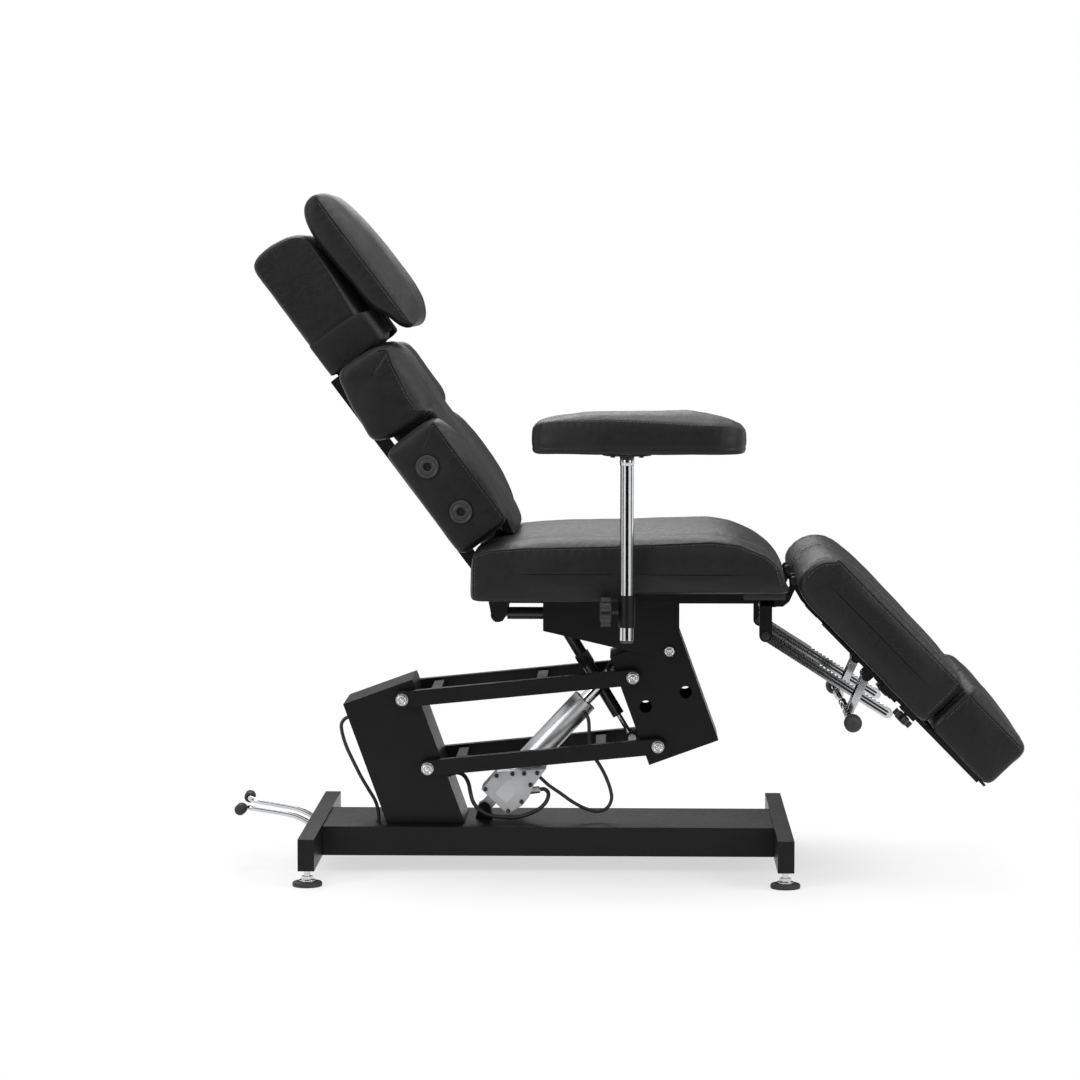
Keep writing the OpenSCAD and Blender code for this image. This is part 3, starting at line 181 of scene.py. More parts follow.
class Finish(Graph):
    """A material of one principled shader, with its patterns in the object's own coordinates."""

    def __init__(self, name):
        super().__init__(bpy.data.materials.new(name))
        self.shader = self.add("ShaderNodeBsdfPrincipled")
        self.link(self.shader, "BSDF", self.out, "Surface")
        self.coords = self.add("ShaderNodeTexCoord")

    def placed(self, texture, stretch=(1, 1, 1)):
        mapping = self.add("ShaderNodeMapping", {"Scale": stretch})
        self.link(self.coords, "Object", mapping, "Vector")
        self.link(mapping, "Vector", texture, "Vector")
        return texture

    def noise(self, scale, detail=3.0, rough=0.5, distortion=0.0, stretch=(1, 1, 1)):
        return self.placed(self.add("ShaderNodeTexNoise", {
            "Scale": scale, "Detail": detail, "Roughness": rough, "Distortion": distortion}), stretch)

    def colours(self, source, first, second, from_low=0.3, from_high=0.7):
        ramp = self.add("ShaderNodeValToRGB")
        for stop, place, colour in zip(ramp.color_ramp.elements, (from_low, from_high), (first, second)):
            stop.position = place
            stop.color = (*colour, 1)
        self.link(source, "Fac", ramp, "Fac")
        self.link(ramp, "Color", self.shader, "Base Color")

    def roughness(self, source, *limits):
        self.link(self.span(source, "Fac", *limits), "Result", self.shader, "Roughness")

    def bump(self, source, strength, distance, under=None, out="Fac"):
        node = self.add("ShaderNodeBump", {"Strength": strength, "Distance": distance})
        self.link(source, out, node, "Height")
        if under is not None:
            self.link(under, "Normal", node, "Normal")
        self.link(node, "Normal", self.shader, "Normal")
        return node

    def rounded(self, radius):
        """The normal of edges rounded to the radius, to go under a bump."""
        return self.add("ShaderNodeBevel", {"Radius": radius}, samples=4)

    def set(self, **values):
        for key, value in values.items():
            self.shader.inputs[key.replace("_", " ")].default_value = value


def leather():
    g = Finish("black_leather")
    grain = g.placed(g.add("ShaderNodeTexVoronoi", {"Scale": 760}))
    pores = g.noise(2100, 2)
    creases = g.noise(95, 6, 0.62, 0.8)
    swell = g.noise(11)
    g.colours(g.noise(7, 4), (0.0042, 0.0042, 0.0045), (0.0085, 0.0085, 0.0090))
    g.roughness(creases, 0.38, 0.54)
    b = g.bump(swell, 0.35, 0.006)
    b = g.bump(creases, 0.22, 0.0016, b)
    b = g.bump(grain, 0.30, 0.00045, b, "Distance")
    g.bump(pores, 0.12, 0.0002, b)
    g.set(Specular_IOR_Level=0.28, Sheen_Weight=0.02, Sheen_Roughness=0.4)
    return g.owner


def thread():
    g = Finish("black_thread")
    twist = g.noise(900, 2, stretch=(1, 1, 3))
    g.colours(twist, (0.030, 0.030, 0.032), (0.075, 0.075, 0.078))
    g.bump(twist, 0.5, 0.0003)
    g.set(Roughness=0.6, Sheen_Weight=0.2)
    return g.owner


def powder_coat():
    g = Finish("black_powder_coat")
    peel = g.noise(420, 3, 0.55)
    scuff = g.noise(60, 6, 0.7, 1.2, (1, 1, 3))
    g.colours(g.noise(5, 5, 0.6), (0.0030, 0.0030, 0.0032), (0.0060, 0.0060, 0.0063))
    g.roughness(scuff, 0.30, 0.44, 0.35, 0.75)
    g.bump(peel, 0.16, 0.0004, g.rounded(0.0014))
    g.set(Specular_IOR_Level=0.22)
    return g.owner


def metal(name, first, second, rough, grain_scale, stretch, bump, edge=0.0009, metallic=1.0):
    g = Finish(name)
    grain = g.noise(grain_scale, 4, 0.6, 0.0, stretch)
    g.colours(g.noise(24, 4, 0.6), first, second)
    g.roughness(grain, *rough)
    g.bump(grain, bump, 0.0002, g.rounded(edge))
    g.set(Metallic=metallic)
    return g.owner


def plastic(name, first, second, rough, texture_scale=1500, bump=0.2):
    g = Finish(name)
    tone = g.noise(30, 4)
    g.colours(tone, first, second)
    g.roughness(tone, *rough)
    g.bump(g.noise(texture_scale, 2), bump, 0.0003, g.rounded(0.0008))
    return g.owner


def plywood():
    g = Finish("stained_plywood")
    rings = g.placed(g.add("ShaderNodeTexWave", {"Scale": 14, "Distortion": 9, "Detail": 4, "Detail Scale": 1.6},
                           wave_type="BANDS", bands_direction="Y"), (0.25, 1, 6))
    g.colours(rings, (0.008, 0.0065, 0.0055), (0.018, 0.014, 0.011), 0.1, 0.9)
    g.bump(g.noise(120, 5, 0.7, 0.2, (0.08, 1, 1)), 0.5, 0.0006)
    g.set(Roughness=0.62)
    return g.owner


def label_stock():
    g = Finish("bare_label")
    g.colours(g.noise(40), (0.52, 0.53, 0.54), (0.60, 0.61, 0.62))
    g.bump(g.noise(1400, 2), 0.1, 0.0001)
    g.set(Roughness=0.33, Metallic=0.35)
    return g.owner


EVEN = (1, 1, 1)
LEATHER = leather()
THREAD = thread()
PAINT = powder_coat()
CHROME = metal("bright_chrome", (0.56, 0.57, 0.58), (0.67, 0.68, 0.69), (0.06, 0.13), 700, (1, 1, 0.15), 0.05)
ZINC = metal("zinc_plated_steel", (0.48, 0.49, 0.50), (0.62, 0.62, 0.63), (0.22, 0.36), 500, EVEN, 0.2)
ALUMINIUM = metal("satin_aluminium", (0.50, 0.51, 0.52), (0.60, 0.61, 0.62), (0.30, 0.44), 900, (0.2, 1, 1), 0.25)
CAST = metal("cast_aluminium", (0.46, 0.47, 0.48), (0.56, 0.57, 0.58), (0.38, 0.52), 380, EVEN, 0.45, 0.0018)
BRASS = metal("machined_brass", (0.55, 0.40, 0.17), (0.64, 0.49, 0.24), (0.2, 0.32), 600, (8, 1, 1), 0.3)
GLOSS = metal("black_enamel", (0.010, 0.010, 0.011), (0.016, 0.016, 0.017), (0.16, 0.26), 300, EVEN, 0.06,
              edge=0.001, metallic=0.0)
GUNMETAL = metal("blackened_steel", (0.045, 0.045, 0.047), (0.085, 0.085, 0.088), (0.24, 0.38), 500, EVEN, 0.2)
PLASTIC = plastic("black_moulding", (0.011, 0.011, 0.012), (0.019, 0.019, 0.020), (0.36, 0.50))
RUBBER = plastic("black_rubber", (0.013, 0.013, 0.013), (0.022, 0.022, 0.022), (0.55, 0.72), 900, 0.35)
CABLE = plastic("cable_sheath", (0.010, 0.010, 0.010), (0.017, 0.017, 0.017), (0.42, 0.56), 600)
PLYWOOD = plywood()
LABEL = label_stock()

BY_SLOT = {
    "black_steel": PAINT, "black_plastic": PLASTIC, "steel_bar": ZINC, "cable_rubber": CABLE, "chrome": CHROME,
    "grey_aluminium": ALUMINIUM, "brass_screw": BRASS, "black_cylinder": GLOSS, "plywood": PLYWOOD,
    "black_upholstery": LEATHER,
}
BY_NODE = {
    "lift_gearbox": CAST, "gearbox_cover": CAST, "hinge_pins": GUNMETAL, "lift_motor": GLOSS,
    "ratchet_bar_near": CHROME, "ratchet_bar_far": CHROME,
}
for name, node in frame["nodes"].items():
    for material_slot in node.material_slots:
        material_slot.material = BY_NODE.get(name) or BY_SLOT[material_slot.material.name.split(".")[0]]


# ---- mesh helpers ----

def add_piece(name, mesh, material, body=None, slot=None, flat=False):
    mesh.materials.clear()
    mesh.materials.append(material)
    mesh.polygons.foreach_set("use_smooth", [not flat] * len(mesh.polygons))
    mesh.update()
    piece = bpy.data.objects.new(name, mesh)
    scene.collection.objects.link(piece)
    if body:
        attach(piece, body)
    return piece


def add_mesh(name, parts, *finish, **options):
    """One piece of several parts, each its vertices and its faces."""
    verts, faces = [], []
    for part_verts, part_faces in parts:
        base = len(verts)
        verts.extend(tuple(v) for v in part_verts)
        faces.extend(tuple(i + base for i in face) for face in part_faces)
    mesh = bpy.data.meshes.new(name)
    mesh.from_pydata(verts, [], faces)
    mesh.validate()
    return add_piece(name, mesh, *finish, **options)


def spline(points, step):
    """Points every step or so on a smooth curve through the given ones."""
    out = []
    n = len(points)
    for i in range(n - 1):
        p0, p1, p2, p3 = points[max(i - 1, 0)], points[i], points[i + 1], points[min(i + 2, n - 1)]
        parts = max(1, round((p2 - p1).length / step))
        for k in range(parts):
            t = k / parts
            out.append(0.5 * (2 * p1 + (p2 - p0) * t + (2 * p0 - 5 * p1 + 4 * p2 - p3) * t * t
                              + (3 * p1 - p0 - 3 * p2 + p3) * t ** 3))
    return out + [points[-1]]


def walls(rings, count):
    """The faces between rings of count vertices; each ring is given by its first vertex."""
    return [(a + k, a + (k + 1) % count, b + (k + 1) % count, b + k)
            for a, b in zip(rings, rings[1:]) for k in range(count)]


def caps(last, count):
    """The two end faces of a run of rings."""
    return [tuple(range(count - 1, -1, -1)), tuple(last + k for k in range(count))]


def tube(path, radius, sides=8, closed=False):
    """Vertices and faces of a tube along path; radius is a number or one for each point."""
    n = len(path)
    radii = radius if hasattr(radius, "__len__") else [radius] * n
    tangents = []
    for i in range(n):
        a = path[(i - 1) % n] if closed or i else path[i]
        b = path[(i + 1) % n] if closed or i < n - 1 else path[i]
        tangents.append((b - a).normalized())
    up = Vector((0, 1, 0)) if abs(tangents[0].y) < 0.9 else Vector((1, 0, 0))
    across = tangents[0].cross(up).normalized()
    verts = []
    for p, r, tangent in zip(path, radii, tangents):
        across = (across - tangent * across.dot(tangent)).normalized()
        other = tangent.cross(across)
        for k in range(sides):
            a = 2 * math.pi * k / sides
            verts.append(p + r * (math.cos(a) * across + math.sin(a) * other))
    rings = list(range(0, n * sides, sides))
    if closed:
        return verts, walls(rings + [0], sides)
    return verts, walls(rings, sides) + caps(rings[-1], sides)


def strip(path, wide, half, thick):
    """A closed band along path; half and thick have its half width and its thickness at each point."""
    sides = 20
    verts = []
    n = len(path)
    for i, p in enumerate(path):
        tangent = (path[min(i + 1, n - 1)] - path[max(i - 1, 0)]).normalized()
        normal = tangent.cross(wide).normalized()
        for k in range(sides):
            a = 2 * math.pi * k / sides
            c, d = math.cos(a), math.sin(a)
            across = math.copysign(abs(c) ** 0.4, c) * half[i] * MM
            out = math.copysign(abs(d) ** 0.8, d) * thick[i] * MM / 2
            verts.append(p + wide * across + normal * out)
    rings = range(0, n * sides, sides)
    return verts, walls(rings, sides) + caps(rings[-1], sides)


def lathe(profile, origin, axis, sides=48):
    """A turned solid: profile rows are (distance along the axis, radius), in millimetres."""
    axis = Vector(axis).normalized()
    up = UP if abs(axis.z) < 0.9 else Vector((1, 0, 0))
    u = axis.cross(up).normalized()
    w = axis.cross(u)
    verts, rings = [], []
    for h, r in profile:
        count = sides if r > 0 else 1
        rings.append(range(len(verts), len(verts) + count))
        for k in range(count):
            a = 2 * math.pi * k / sides
            verts.append(origin + axis * h * MM + r * MM * (math.cos(a) * u + math.sin(a) * w))
    faces = []
    for a, b in zip(rings, rings[1:]):
        for k in range(sides):
            m = (k + 1) % sides
            corners = (a[k % len(a)], a[m % len(a)], b[m % len(b)], b[k % len(b)])
            faces.append(tuple(dict.fromkeys(corners)))
    return verts, faces


# ---- cables ----

MOTOR_CABLE = [(-17.4, -30, 147.7), (-9.5, -30, 148.7), (-2, -34, 144), (-1, -40, 135), (-7, -46, 123), (-20, -52, 112),
               (-40, -56, 103), (-66, -58, 97), (-110, -58, 100), (-132, -57, 110), (-146, -53, 125), (-152, -47, 143),
               (-156, -40, 160), (-164, -34, 174), (-176, -31, 180), (-188, -30, 178.5), (-200, -30, 174)]
COLUMN_CABLE = [(-378, -60, 296.8), (-388, -60, 293), (-397, -60, 287), (-402, -60, 276), (-399, -60, 256),
                (-391, -60, 232), (-378, -60, 204), (-364, -60, 176), (-350, -60, 152), (-338, -60, 132),
                (-332, -60, 115), (-330.3, -60, 104), (-330, -60, 96), (-330, -60, 80)]
ACTUATOR_CABLE = [(-17.3, -38, 173.1), (-11, -38.5, 167.2), (-4, -41, 161), (5, -44, 154.5), (24, -46, 142),
                  (46, -44, 126), (70, -42, 113), (92, -40, 107), (112, -38, 112), (122, -36, 130), (119, -36, 152),
                  (109, -36, 178), (98, -36, 198), (89, -36, 212), (83, -35, 228), (79.5, -34, 245), (78.5, -34, 262),
                  (77.5, -33, 282), (75, -31.5, 291), (71.8, -28.3, 296.2), (68.8, -21.45, 299.1)]
PATH_STEP = 0.004


def cable(name, route, radius, node, body=None, joint=None, bend=None):
    path = spline([point(*p) for p in route], PATH_STEP)
    piece = add_mesh(name, [tube(path, radius * MM, 14)], CABLE, body, "cable_rubber")
    if joint:
        start, end = bend or (path[0], path[-1])
        tuple(start)
        tuple(end)
        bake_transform(piece)
    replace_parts(piece, node)
    length = sum((b - a).length for a, b in zip(path, path[1:]))
    tuple(path[0])
    [tuple(p) for p in path]


cable("motor_cable", MOTOR_CABLE, 4, "motor_cables", joint=("lift_actuator", "base"))
cable("column_cable", COLUMN_CABLE, 3.5, "motor_cables", body="base")
cable("switch_cable", ACTUATOR_CABLE, 3.5, "actuator_cable", joint=("lift_actuator", "base"),
      bend=(point(35.3, -40, 216.5), point(112.2, -40, 144.9)))


# ---- cushions ----
# A cushion is a grid: its side outline swept across its width, with the side panels closed towards a spine.
# A station is (distance from the side panel, share of the crown on the padded face, depth of a sewn channel, if any).
# The crown's share 0 is the side panel's sewn edge, 1 the outline itself. Away from the padded face the crown is whole
# from the fourth station on, and has the shares in rise before it.

OUTLINE_STEP = 8.0
PANEL_SHARES = (1.0, 0.93, 0.78, 0.6, 0.42, 0.26, 0.13, 0.05, 0.0)
PANEL_TUCK = 2.2


def rounded_outline(corners, cut):
    """The closed outline with each corner cut by a curve, as even points with their outward normals."""
    pts = [Vector(c) for c in corners]
    if sum(a.x * b.y - b.x * a.y for a, b in zip(pts, pts[1:] + pts[:1])) < 0:
        pts.reverse()
    curve = []
    for i, p in enumerate(pts):
        before, after = pts[i - 1], pts[(i + 1) % len(pts)]
        ca = min(cut, 0.5 * (p - before).length)
        cb = min(cut, 0.5 * (after - p).length)
        a = p + (before - p).normalized() * ca
        b = p + (after - p).normalized() * cb
        curve += [a * (1 - t) ** 2 + p * 2 * t * (1 - t) + b * t * t for t in (0, 0.2, 0.4, 0.6, 0.8, 1)]
    ends = curve[1:] + curve[:1]
    total = sum((b - a).length for a, b in zip(curve, ends))
    n = round(total / OUTLINE_STEP)
    out, walked, k = [], 0.0, 0
    length = (ends[0] - curve[0]).length
    for i in range(n):
        s = i * total / n
        while walked + length < s and k < len(curve) - 1:
            walked += length
            k += 1
            length = (ends[k] - curve[k]).length
        out.append(curve[k].lerp(ends[k], (s - walked) / length if length else 0.0))
    for _ in range(2):
        out = [0.25 * out[i - 1] + 0.5 * out[i] + 0.25 * out[(i + 1) % n] for i in range(n)]
    normals = []
    for i in range(n):
        d = (out[(i + 1) % n] - out[i - 1]).normalized()
        normals.append(Vector((d.y, -d.x)))
    return out, normals


def nearest_on(spine, p):
    a, b = Vector(spine[0]), Vector(spine[1])
    d = b - a
    t = min(1.0, max(0.0, (p - a).dot(d) / d.length_squared)) if d.length else 0.0
    return a + d * t


class Cushion:
    """Builds one pad in its own plane (a, b) and across y, in millimetres.

    The outline is its side, half its half width, and face the way that its padded face looks. The side panel's sewn
    edge lies an edge(p, n) away from the outline, and the panels close on the spine, bulging out by the way. place
    turns (a, b, y) into the chair's coordinates. cut rounds the outline's corners. The dimples, as (a, b, reach), lie
    flat in the side panels. adjust has the last say on a point. wrap is where the padded face begins to count.
    """

    def __init__(self, outline, half, face, edge, stations, spine, place, bulge, cut, dimples=(), adjust=None,
                 wrap=0.05, rise=(0.0, 0.45, 0.8)):
        pts, normals = rounded_outline(outline, cut)
        self.count = len(pts)
        face = Vector(face)
        self.weight = [smooth(n.dot(face), wrap, wrap + 0.5) for n in normals]
        held = [1.0 - smooth(n.dot(face), -0.6, -0.1) for n in normals]
        shift = [edge(p, n) for p, n in zip(pts, normals)]
        depth = [row[2] if len(row) > 2 else 0 for row in stations]
        rows = [(half - row[0], k) for k, row in enumerate(stations)] + [(0.0, len(stations) - 1)]
        across = rows + [(-y, k) for y, k in reversed(rows) if y > 0.5]
        self.points, self.pins, rings = [], [], []

        def add(p, y, pin):
            if adjust:
                p = adjust(p, y)
            self.points.append(place(p.x, p.y, y))
            self.pins.append(pin)

        def crown(y, k):
            elsewhere = rise[k] if k < len(rise) else 1
            rings.append(len(self.points))
            for i in range(self.count):
                share = elsewhere + (stations[k][1] - elsewhere) * self.weight[i]
                p = pts[i] + shift[i] * (1 - share) - normals[i] * depth[k] * (0.35 + 0.65 * self.weight[i])
                add(p, y, max(1.0 if depth[k] else 0.0, held[i]))

        def panel(sign, shares):
            for f in shares:
                y = half + (bulge * (1 - (1 - f) ** 3) if f else -0.2)
                rings.append(len(self.points))
                for i in range(self.count):
                    base = pts[i] + shift[i]
                    goal = nearest_on(spine, base)
                    p = (base + (goal - base).normalized() * PANEL_TUCK).lerp(goal, f)
                    lift, pin = y, 1.0 if f < 0.02 else 0.0
                    for da, db, reach in dimples:
                        r = (p - Vector((da, db))).length
                        lift = min(lift, half - 0.2 + (y - half) * smooth(r, 0.55 * reach, 1.6 * reach))
                        pin = 1.0 if r < reach else pin
                    add(p, sign * lift, pin)

        panel(1, PANEL_SHARES)
        for y, k in across:
            crown(y, k)
        panel(-1, PANEL_SHARES[::-1])
        self.faces = [(a + i, b + i, b + (i + 1) % self.count, a + (i + 1) % self.count)
                      for a, b in zip(rings, rings[1:]) for i in range(self.count)]
        self.seams = [(rings[len(PANEL_SHARES) + n], k) for n, (_, k) in enumerate(across) if depth[k]]

    def runs(self, row, least):
        """The runs of a seam's row where the share of the padded face is more than least."""
        keep = [w > least for w in self.weight]
        if all(keep):
            return [self.points[row:row + self.count]]
        start = next(i for i in range(self.count) if keep[i] and not keep[i - 1])
        runs = [[]]
        for i in [*range(start, self.count), *range(start)]:
            if keep[i]:
                runs[-1].append(self.points[row + i])
            elif runs[-1]:
                runs.append([])
        return [run for run in runs if len(run) > 5]


CLOTH = {"quality": 5, "mass": 0.3, "tension_stiffness": 18, "compression_stiffness": 12, "shear_stiffness": 6,
         "bending_stiffness": 0.6, "air_damping": 2, "use_pressure": True, "uniform_pressure_force": 4,
         "vertex_group_mass": "held", "pin_stiffness": 1}
CLOTH_FRAMES = 20


def settle(mesh, pins, cap):
    """Swells the cushion by cloth simulation, held along its seams and its back, and applies the result."""
    piece = bpy.data.objects.new("settling", mesh)
    scene.collection.objects.link(piece)
    group = piece.vertex_groups.new(name="held")
    for i, w in enumerate(pins):
        if w > 0.01:
            group.add([i], w, "REPLACE")
    cloth = piece.modifiers.new("cloth", "CLOTH")
    for key, value in CLOTH.items():
        setattr(cloth.settings, key, value)
    cloth.settings.effector_weights.gravity = 0
    cloth.point_cache.frame_start, cloth.point_cache.frame_end = 1, CLOTH_FRAMES
    for number in range(1, CLOTH_FRAMES + 1):
        scene.frame_set(number)
    settled = piece.evaluated_get(bpy.context.evaluated_depsgraph_get())
    moves = [b.co - a.co for a, b in zip(mesh.vertices, settled.to_mesh().vertices)]
    settled.to_mesh_clear()
    scene.frame_set(1)
    bpy.data.objects.remove(piece)
    for v, d in zip(mesh.vertices, moves):
        v.co = v.co + (d.normalized() * cap * MM if d.length > cap * MM else d)
    mesh.update()


def subdivided(mesh):
    piece = bpy.data.objects.new("smoothing", mesh)
    scene.collection.objects.link(piece)
    modifier = piece.modifiers.new("smooth", "SUBSURF")
    modifier.levels = modifier.render_levels = 1
    fine = bpy.data.meshes.new_from_object(piece.evaluated_get(bpy.context.evaluated_depsgraph_get()))
    bpy.data.objects.remove(piece)
    return fine


GATHER_REACH, GATHER_PLACE, GATHER_SPREAD = 0.03, 0.007, 0.009


def pucker(mesh, lines, depth, pitch, soft):
    """Small gathers beside the seams, and a slight unevenness all over."""
    samples = []
    for line in lines:
        s = 0.0
        for a, b in zip(line, line[1:] + line[-1:]):
            samples += [(a, s), (a.lerp(b, 0.5), s + (b - a).length / 2)]
            s += (b - a).length
    tree = KDTree(len(samples))
    for i, (p, _) in enumerate(samples):
        tree.insert(p, i)
    tree.balance()
    moved = []
    for v in mesh.vertices:
        co = v.co.copy()
        lift = soft * (1.9 * noise.noise(co * 8) + noise.noise(co * 21) + 0.25 * noise.noise(co * 60))
        _, i, r = tree.find(co)
        if r < GATHER_REACH:
            fold = math.sin(2 * math.pi * (samples[i][1] + 0.004 * noise.noise(co * 30)) / (pitch * MM))
            strength = 0.5 + 0.5 * noise.noise(co * 9 + Vector((3, 1, 7)))
            strength *= math.exp(-((r - GATHER_PLACE) / GATHER_SPREAD) ** 2)
            lift += depth * fold * strength
        moved.extend(co + v.normal * lift * MM)
    mesh.vertices.foreach_set("co", moved)
    mesh.update()


WELD = 0.0004


def pad_mesh(name, points, faces, pins, lines, gathers, cap=0):
    """A cushion's mesh: welded, swollen by up to cap, if any, subdivided, and gathered along its seam lines."""
    mesh = bpy.data.meshes.new(name)
    mesh.from_pydata([tuple(p) for p in points], [], faces)
    work = bmesh.new()
    work.from_mesh(mesh)
    held = work.verts.layers.float.new("held")
    for v, w in zip(work.verts, pins):
        v[held] = w
    bmesh.ops.remove_doubles(work, verts=work.verts, dist=WELD)
    bmesh.ops.dissolve_degenerate(work, dist=0.0001, edges=work.edges)
    bmesh.ops.recalc_face_normals(work, faces=work.faces)
    pins = [v[held] for v in work.verts]
    work.to_mesh(mesh)
    work.free()
    mesh.attributes.remove(mesh.attributes["held"])
    if cap:
        settle(mesh, pins, cap)
    mesh = subdivided(mesh)
    pucker(mesh, lines, *gathers)
    return mesh


def upholster(name, shape, least, gathers, cap=0):
    """The mesh of a Cushion, its edge seams and its channels."""
    sewn = [(k, run) for row, k in shape.seams for run in shape.runs(row, least)]
    mesh = pad_mesh(name, shape.points, shape.faces, shape.pins, [run for _, run in sewn], gathers, cap)
    return mesh, [run for k, run in sewn if k == 0], [run for k, run in sewn if k]


def finish_pad(name, mesh, body, *nodes, fill=0.8):
    piece = add_piece(name, mesh, LEATHER, body, "black_upholstery")
    if nodes:
        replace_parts(piece, *nodes)


def mirrored(mesh, name):
    """A copy of the mesh on the other side of the chair's centre plane."""
    copy = mesh.copy()
    copy.name = name
    for v in copy.vertices:
        v.co.y = -v.co.y
    copy.flip_normals()
    return copy


def across_chair(points, sign):
    return [Vector((p.x, sign * p.y, p.z)) for p in points]


def piping(name, runs, radius, body, closed=False, sign=1):
    """A sewn cord of the same leather along a seam."""
    add_mesh(name, [tube(across_chair(run, sign), radius * MM, closed=closed) for run in runs], LEATHER, body,
             "black_upholstery")


STITCH_PITCH = 5.5
STITCH_PLACES = [t * 3.4 for t in (-0.5, -0.35, 0, 0.35, 0.5)]
STITCH_RADII = [r * MM for r in (0.3, 0.5, 0.5, 0.5, 0.3)]


def stitches(name, surface, runs, body, offset, sign=1):
    """A row of thread stitches on the surface beside each run, offset to one side of it, in millimetres."""
    tree = BVHTree.FromPolygons([v.co for v in surface.vertices], [tuple(p.vertices) for p in surface.polygons])
    parts = []
    for run in runs:
        fine = spline(run, 0.002)
        walked, next_at = 0.0, STITCH_PITCH * MM
        for a, b in zip(fine, fine[1:]):
            walked += (b - a).length
            if walked < next_at:
                continue
            next_at += STITCH_PITCH * MM
            direction = (b - a).normalized()
            sideways = tree.find_nearest(b)[1].cross(direction).normalized()
            hit, normal, _, _ = tree.find_nearest(b + sideways * offset * MM)
            ends = [hit + normal * 0.15 * MM + direction * t * MM for t in STITCH_PLACES]
            for k in (0, -1):
                ends[k] = ends[k] - normal * 0.5 * MM
            parts.append(tube(across_chair(ends, sign), STITCH_RADII, 6))
    add_mesh(name, parts, THREAD, body, "black_upholstery")


def on_seat(a, b, y):
    return point(a, y, b)


HINGE_X, HINGE_Z = -90, 556
LEAN, RISE = 0.6, 0.8  # how far back and how far up the backrest goes for each unit of its length


def on_back(t, s, y):
    """A point of the backrest: t forward through the pads, s up the back from the hinge, y across."""
    return point(HINGE_X - LEAN * s + RISE * t, y, HINGE_Z + RISE * s + LEAN * t)


KNEE_X, KNEE_Z, LEG_CENTRE = 468, 569, 150
LEG_FALL = math.radians(45.5)
LEG_COS, LEG_SIN = math.cos(LEG_FALL), math.sin(LEG_FALL)


def on_leg(s, t, y):
    """A point of the near leg rest: s down the rest, t up through the pad, y away from the centre plane."""
    return point(KNEE_X + LEG_COS * s + LEG_SIN * t, -(LEG_CENTRE + y), KNEE_Z - LEG_SIN * s + LEG_COS * t)


def back_edge(levels, rim):
    """The side panel stops at the level for the height, or rim inside the outline where that doesn't reach so far."""
    def edge(p, n):
        inward, level = -n * rim, along(levels, p.y)
        if p.x <= level + rim:
            return inward
        return inward.lerp(Vector((level - p.x, 0)), smooth(n.x, 0.1, 0.6))
    return edge


# seat

SEAT_SIDE = [(-143, 537), (-143, 626), (-125, 640), (-109, 646), (-60, 655), (-18, 664), (20, 668), (330, 668),
             (360, 662), (403, 645), (432, 625), (447, 600), (455, 575), (460, 554.5), (150, 554.5), (148, 537)]
SEAT_EDGE = [(-143, 624), (-107, 636), (-40, 641), (60, 643), (110, 644), (200, 648), (309, 653), (360, 647),
             (412, 625), (438, 600)]
SEAT_STATIONS = [(1.0, 0.0, 1.2), (4, 0.10), (9, 0.18), (17, 0.26), (30, 0.34), (48, 0.41), (68, 0.46), (86, 0.48),
                 (97, 0.46), (102, 0.43, 0.6), (104.5, 0.40, 2.6), (107, 0.44, 0.6), (112, 0.49), (124, 0.56),
                 (150, 0.66), (190, 0.78), (240, 0.90), (290, 0.97)]


SEAT_RIM, FRONT_RIM, FRONT_X = 7.0, 13.0, 400
BOARD_TOP, BOARD_HALF, BOARD_BACK = 553.6, 286.5, -131
NOTCH_HALF = 92.5
NOTCH_WALL = [(530, -60.5), (590, -60.5), (602, -94), (662, -114), (700, -126)]


def seat_edge(p, n):
    down = Vector((0, -max(SEAT_RIM, p.y - along(SEAT_EDGE, p.x))))
    inward = -n * (FRONT_RIM if p.x > FRONT_X else SEAT_RIM)
    return inward.lerp(down, smooth(n.y, 0.35, 0.75))


def seat_shape(p, y):
    """The hollow over the seat board, and the notch that the backrest's frame comes up through."""
    inside = smooth(BOARD_HALF - abs(y), 0, 1.5)
    if p.y < BOARD_TOP and p.x > BOARD_BACK:
        p = Vector((p.x, p.y + (BOARD_TOP - p.y) * inside))
    notch = smooth(NOTCH_HALF - abs(y), 0, 2.5)
    wall = along(NOTCH_WALL, p.y)
    if p.x < wall:
        p = Vector((p.x + (wall - p.x) * 0.985 * notch, p.y))
    return p


seat = Cushion(SEAT_SIDE, 300, (0, 1), seat_edge, SEAT_STATIONS, ((-60, 592), (390, 592)), on_seat, 3.0, 12,
               adjust=seat_shape, wrap=-0.35)
mesh, edges, channels = upholster("seat_upholstery", seat, 0.12, (0.7, 17, 0.9), 4)
finish_pad("seat_upholstery", mesh, "seat", "seat_cushion")
piping("seat_edge_piping", edges, 1.5, "seat")
for name, lines, offset in (("channel_stitching", channels, 3.2), ("channel_stitching_inner", channels, -3.2),
                            ("edge_stitching", edges, 4.0), ("edge_stitching_outer", edges, -4.0)):
    stitches("seat_" + name, mesh, lines, "seat", offset)

# lower back pad

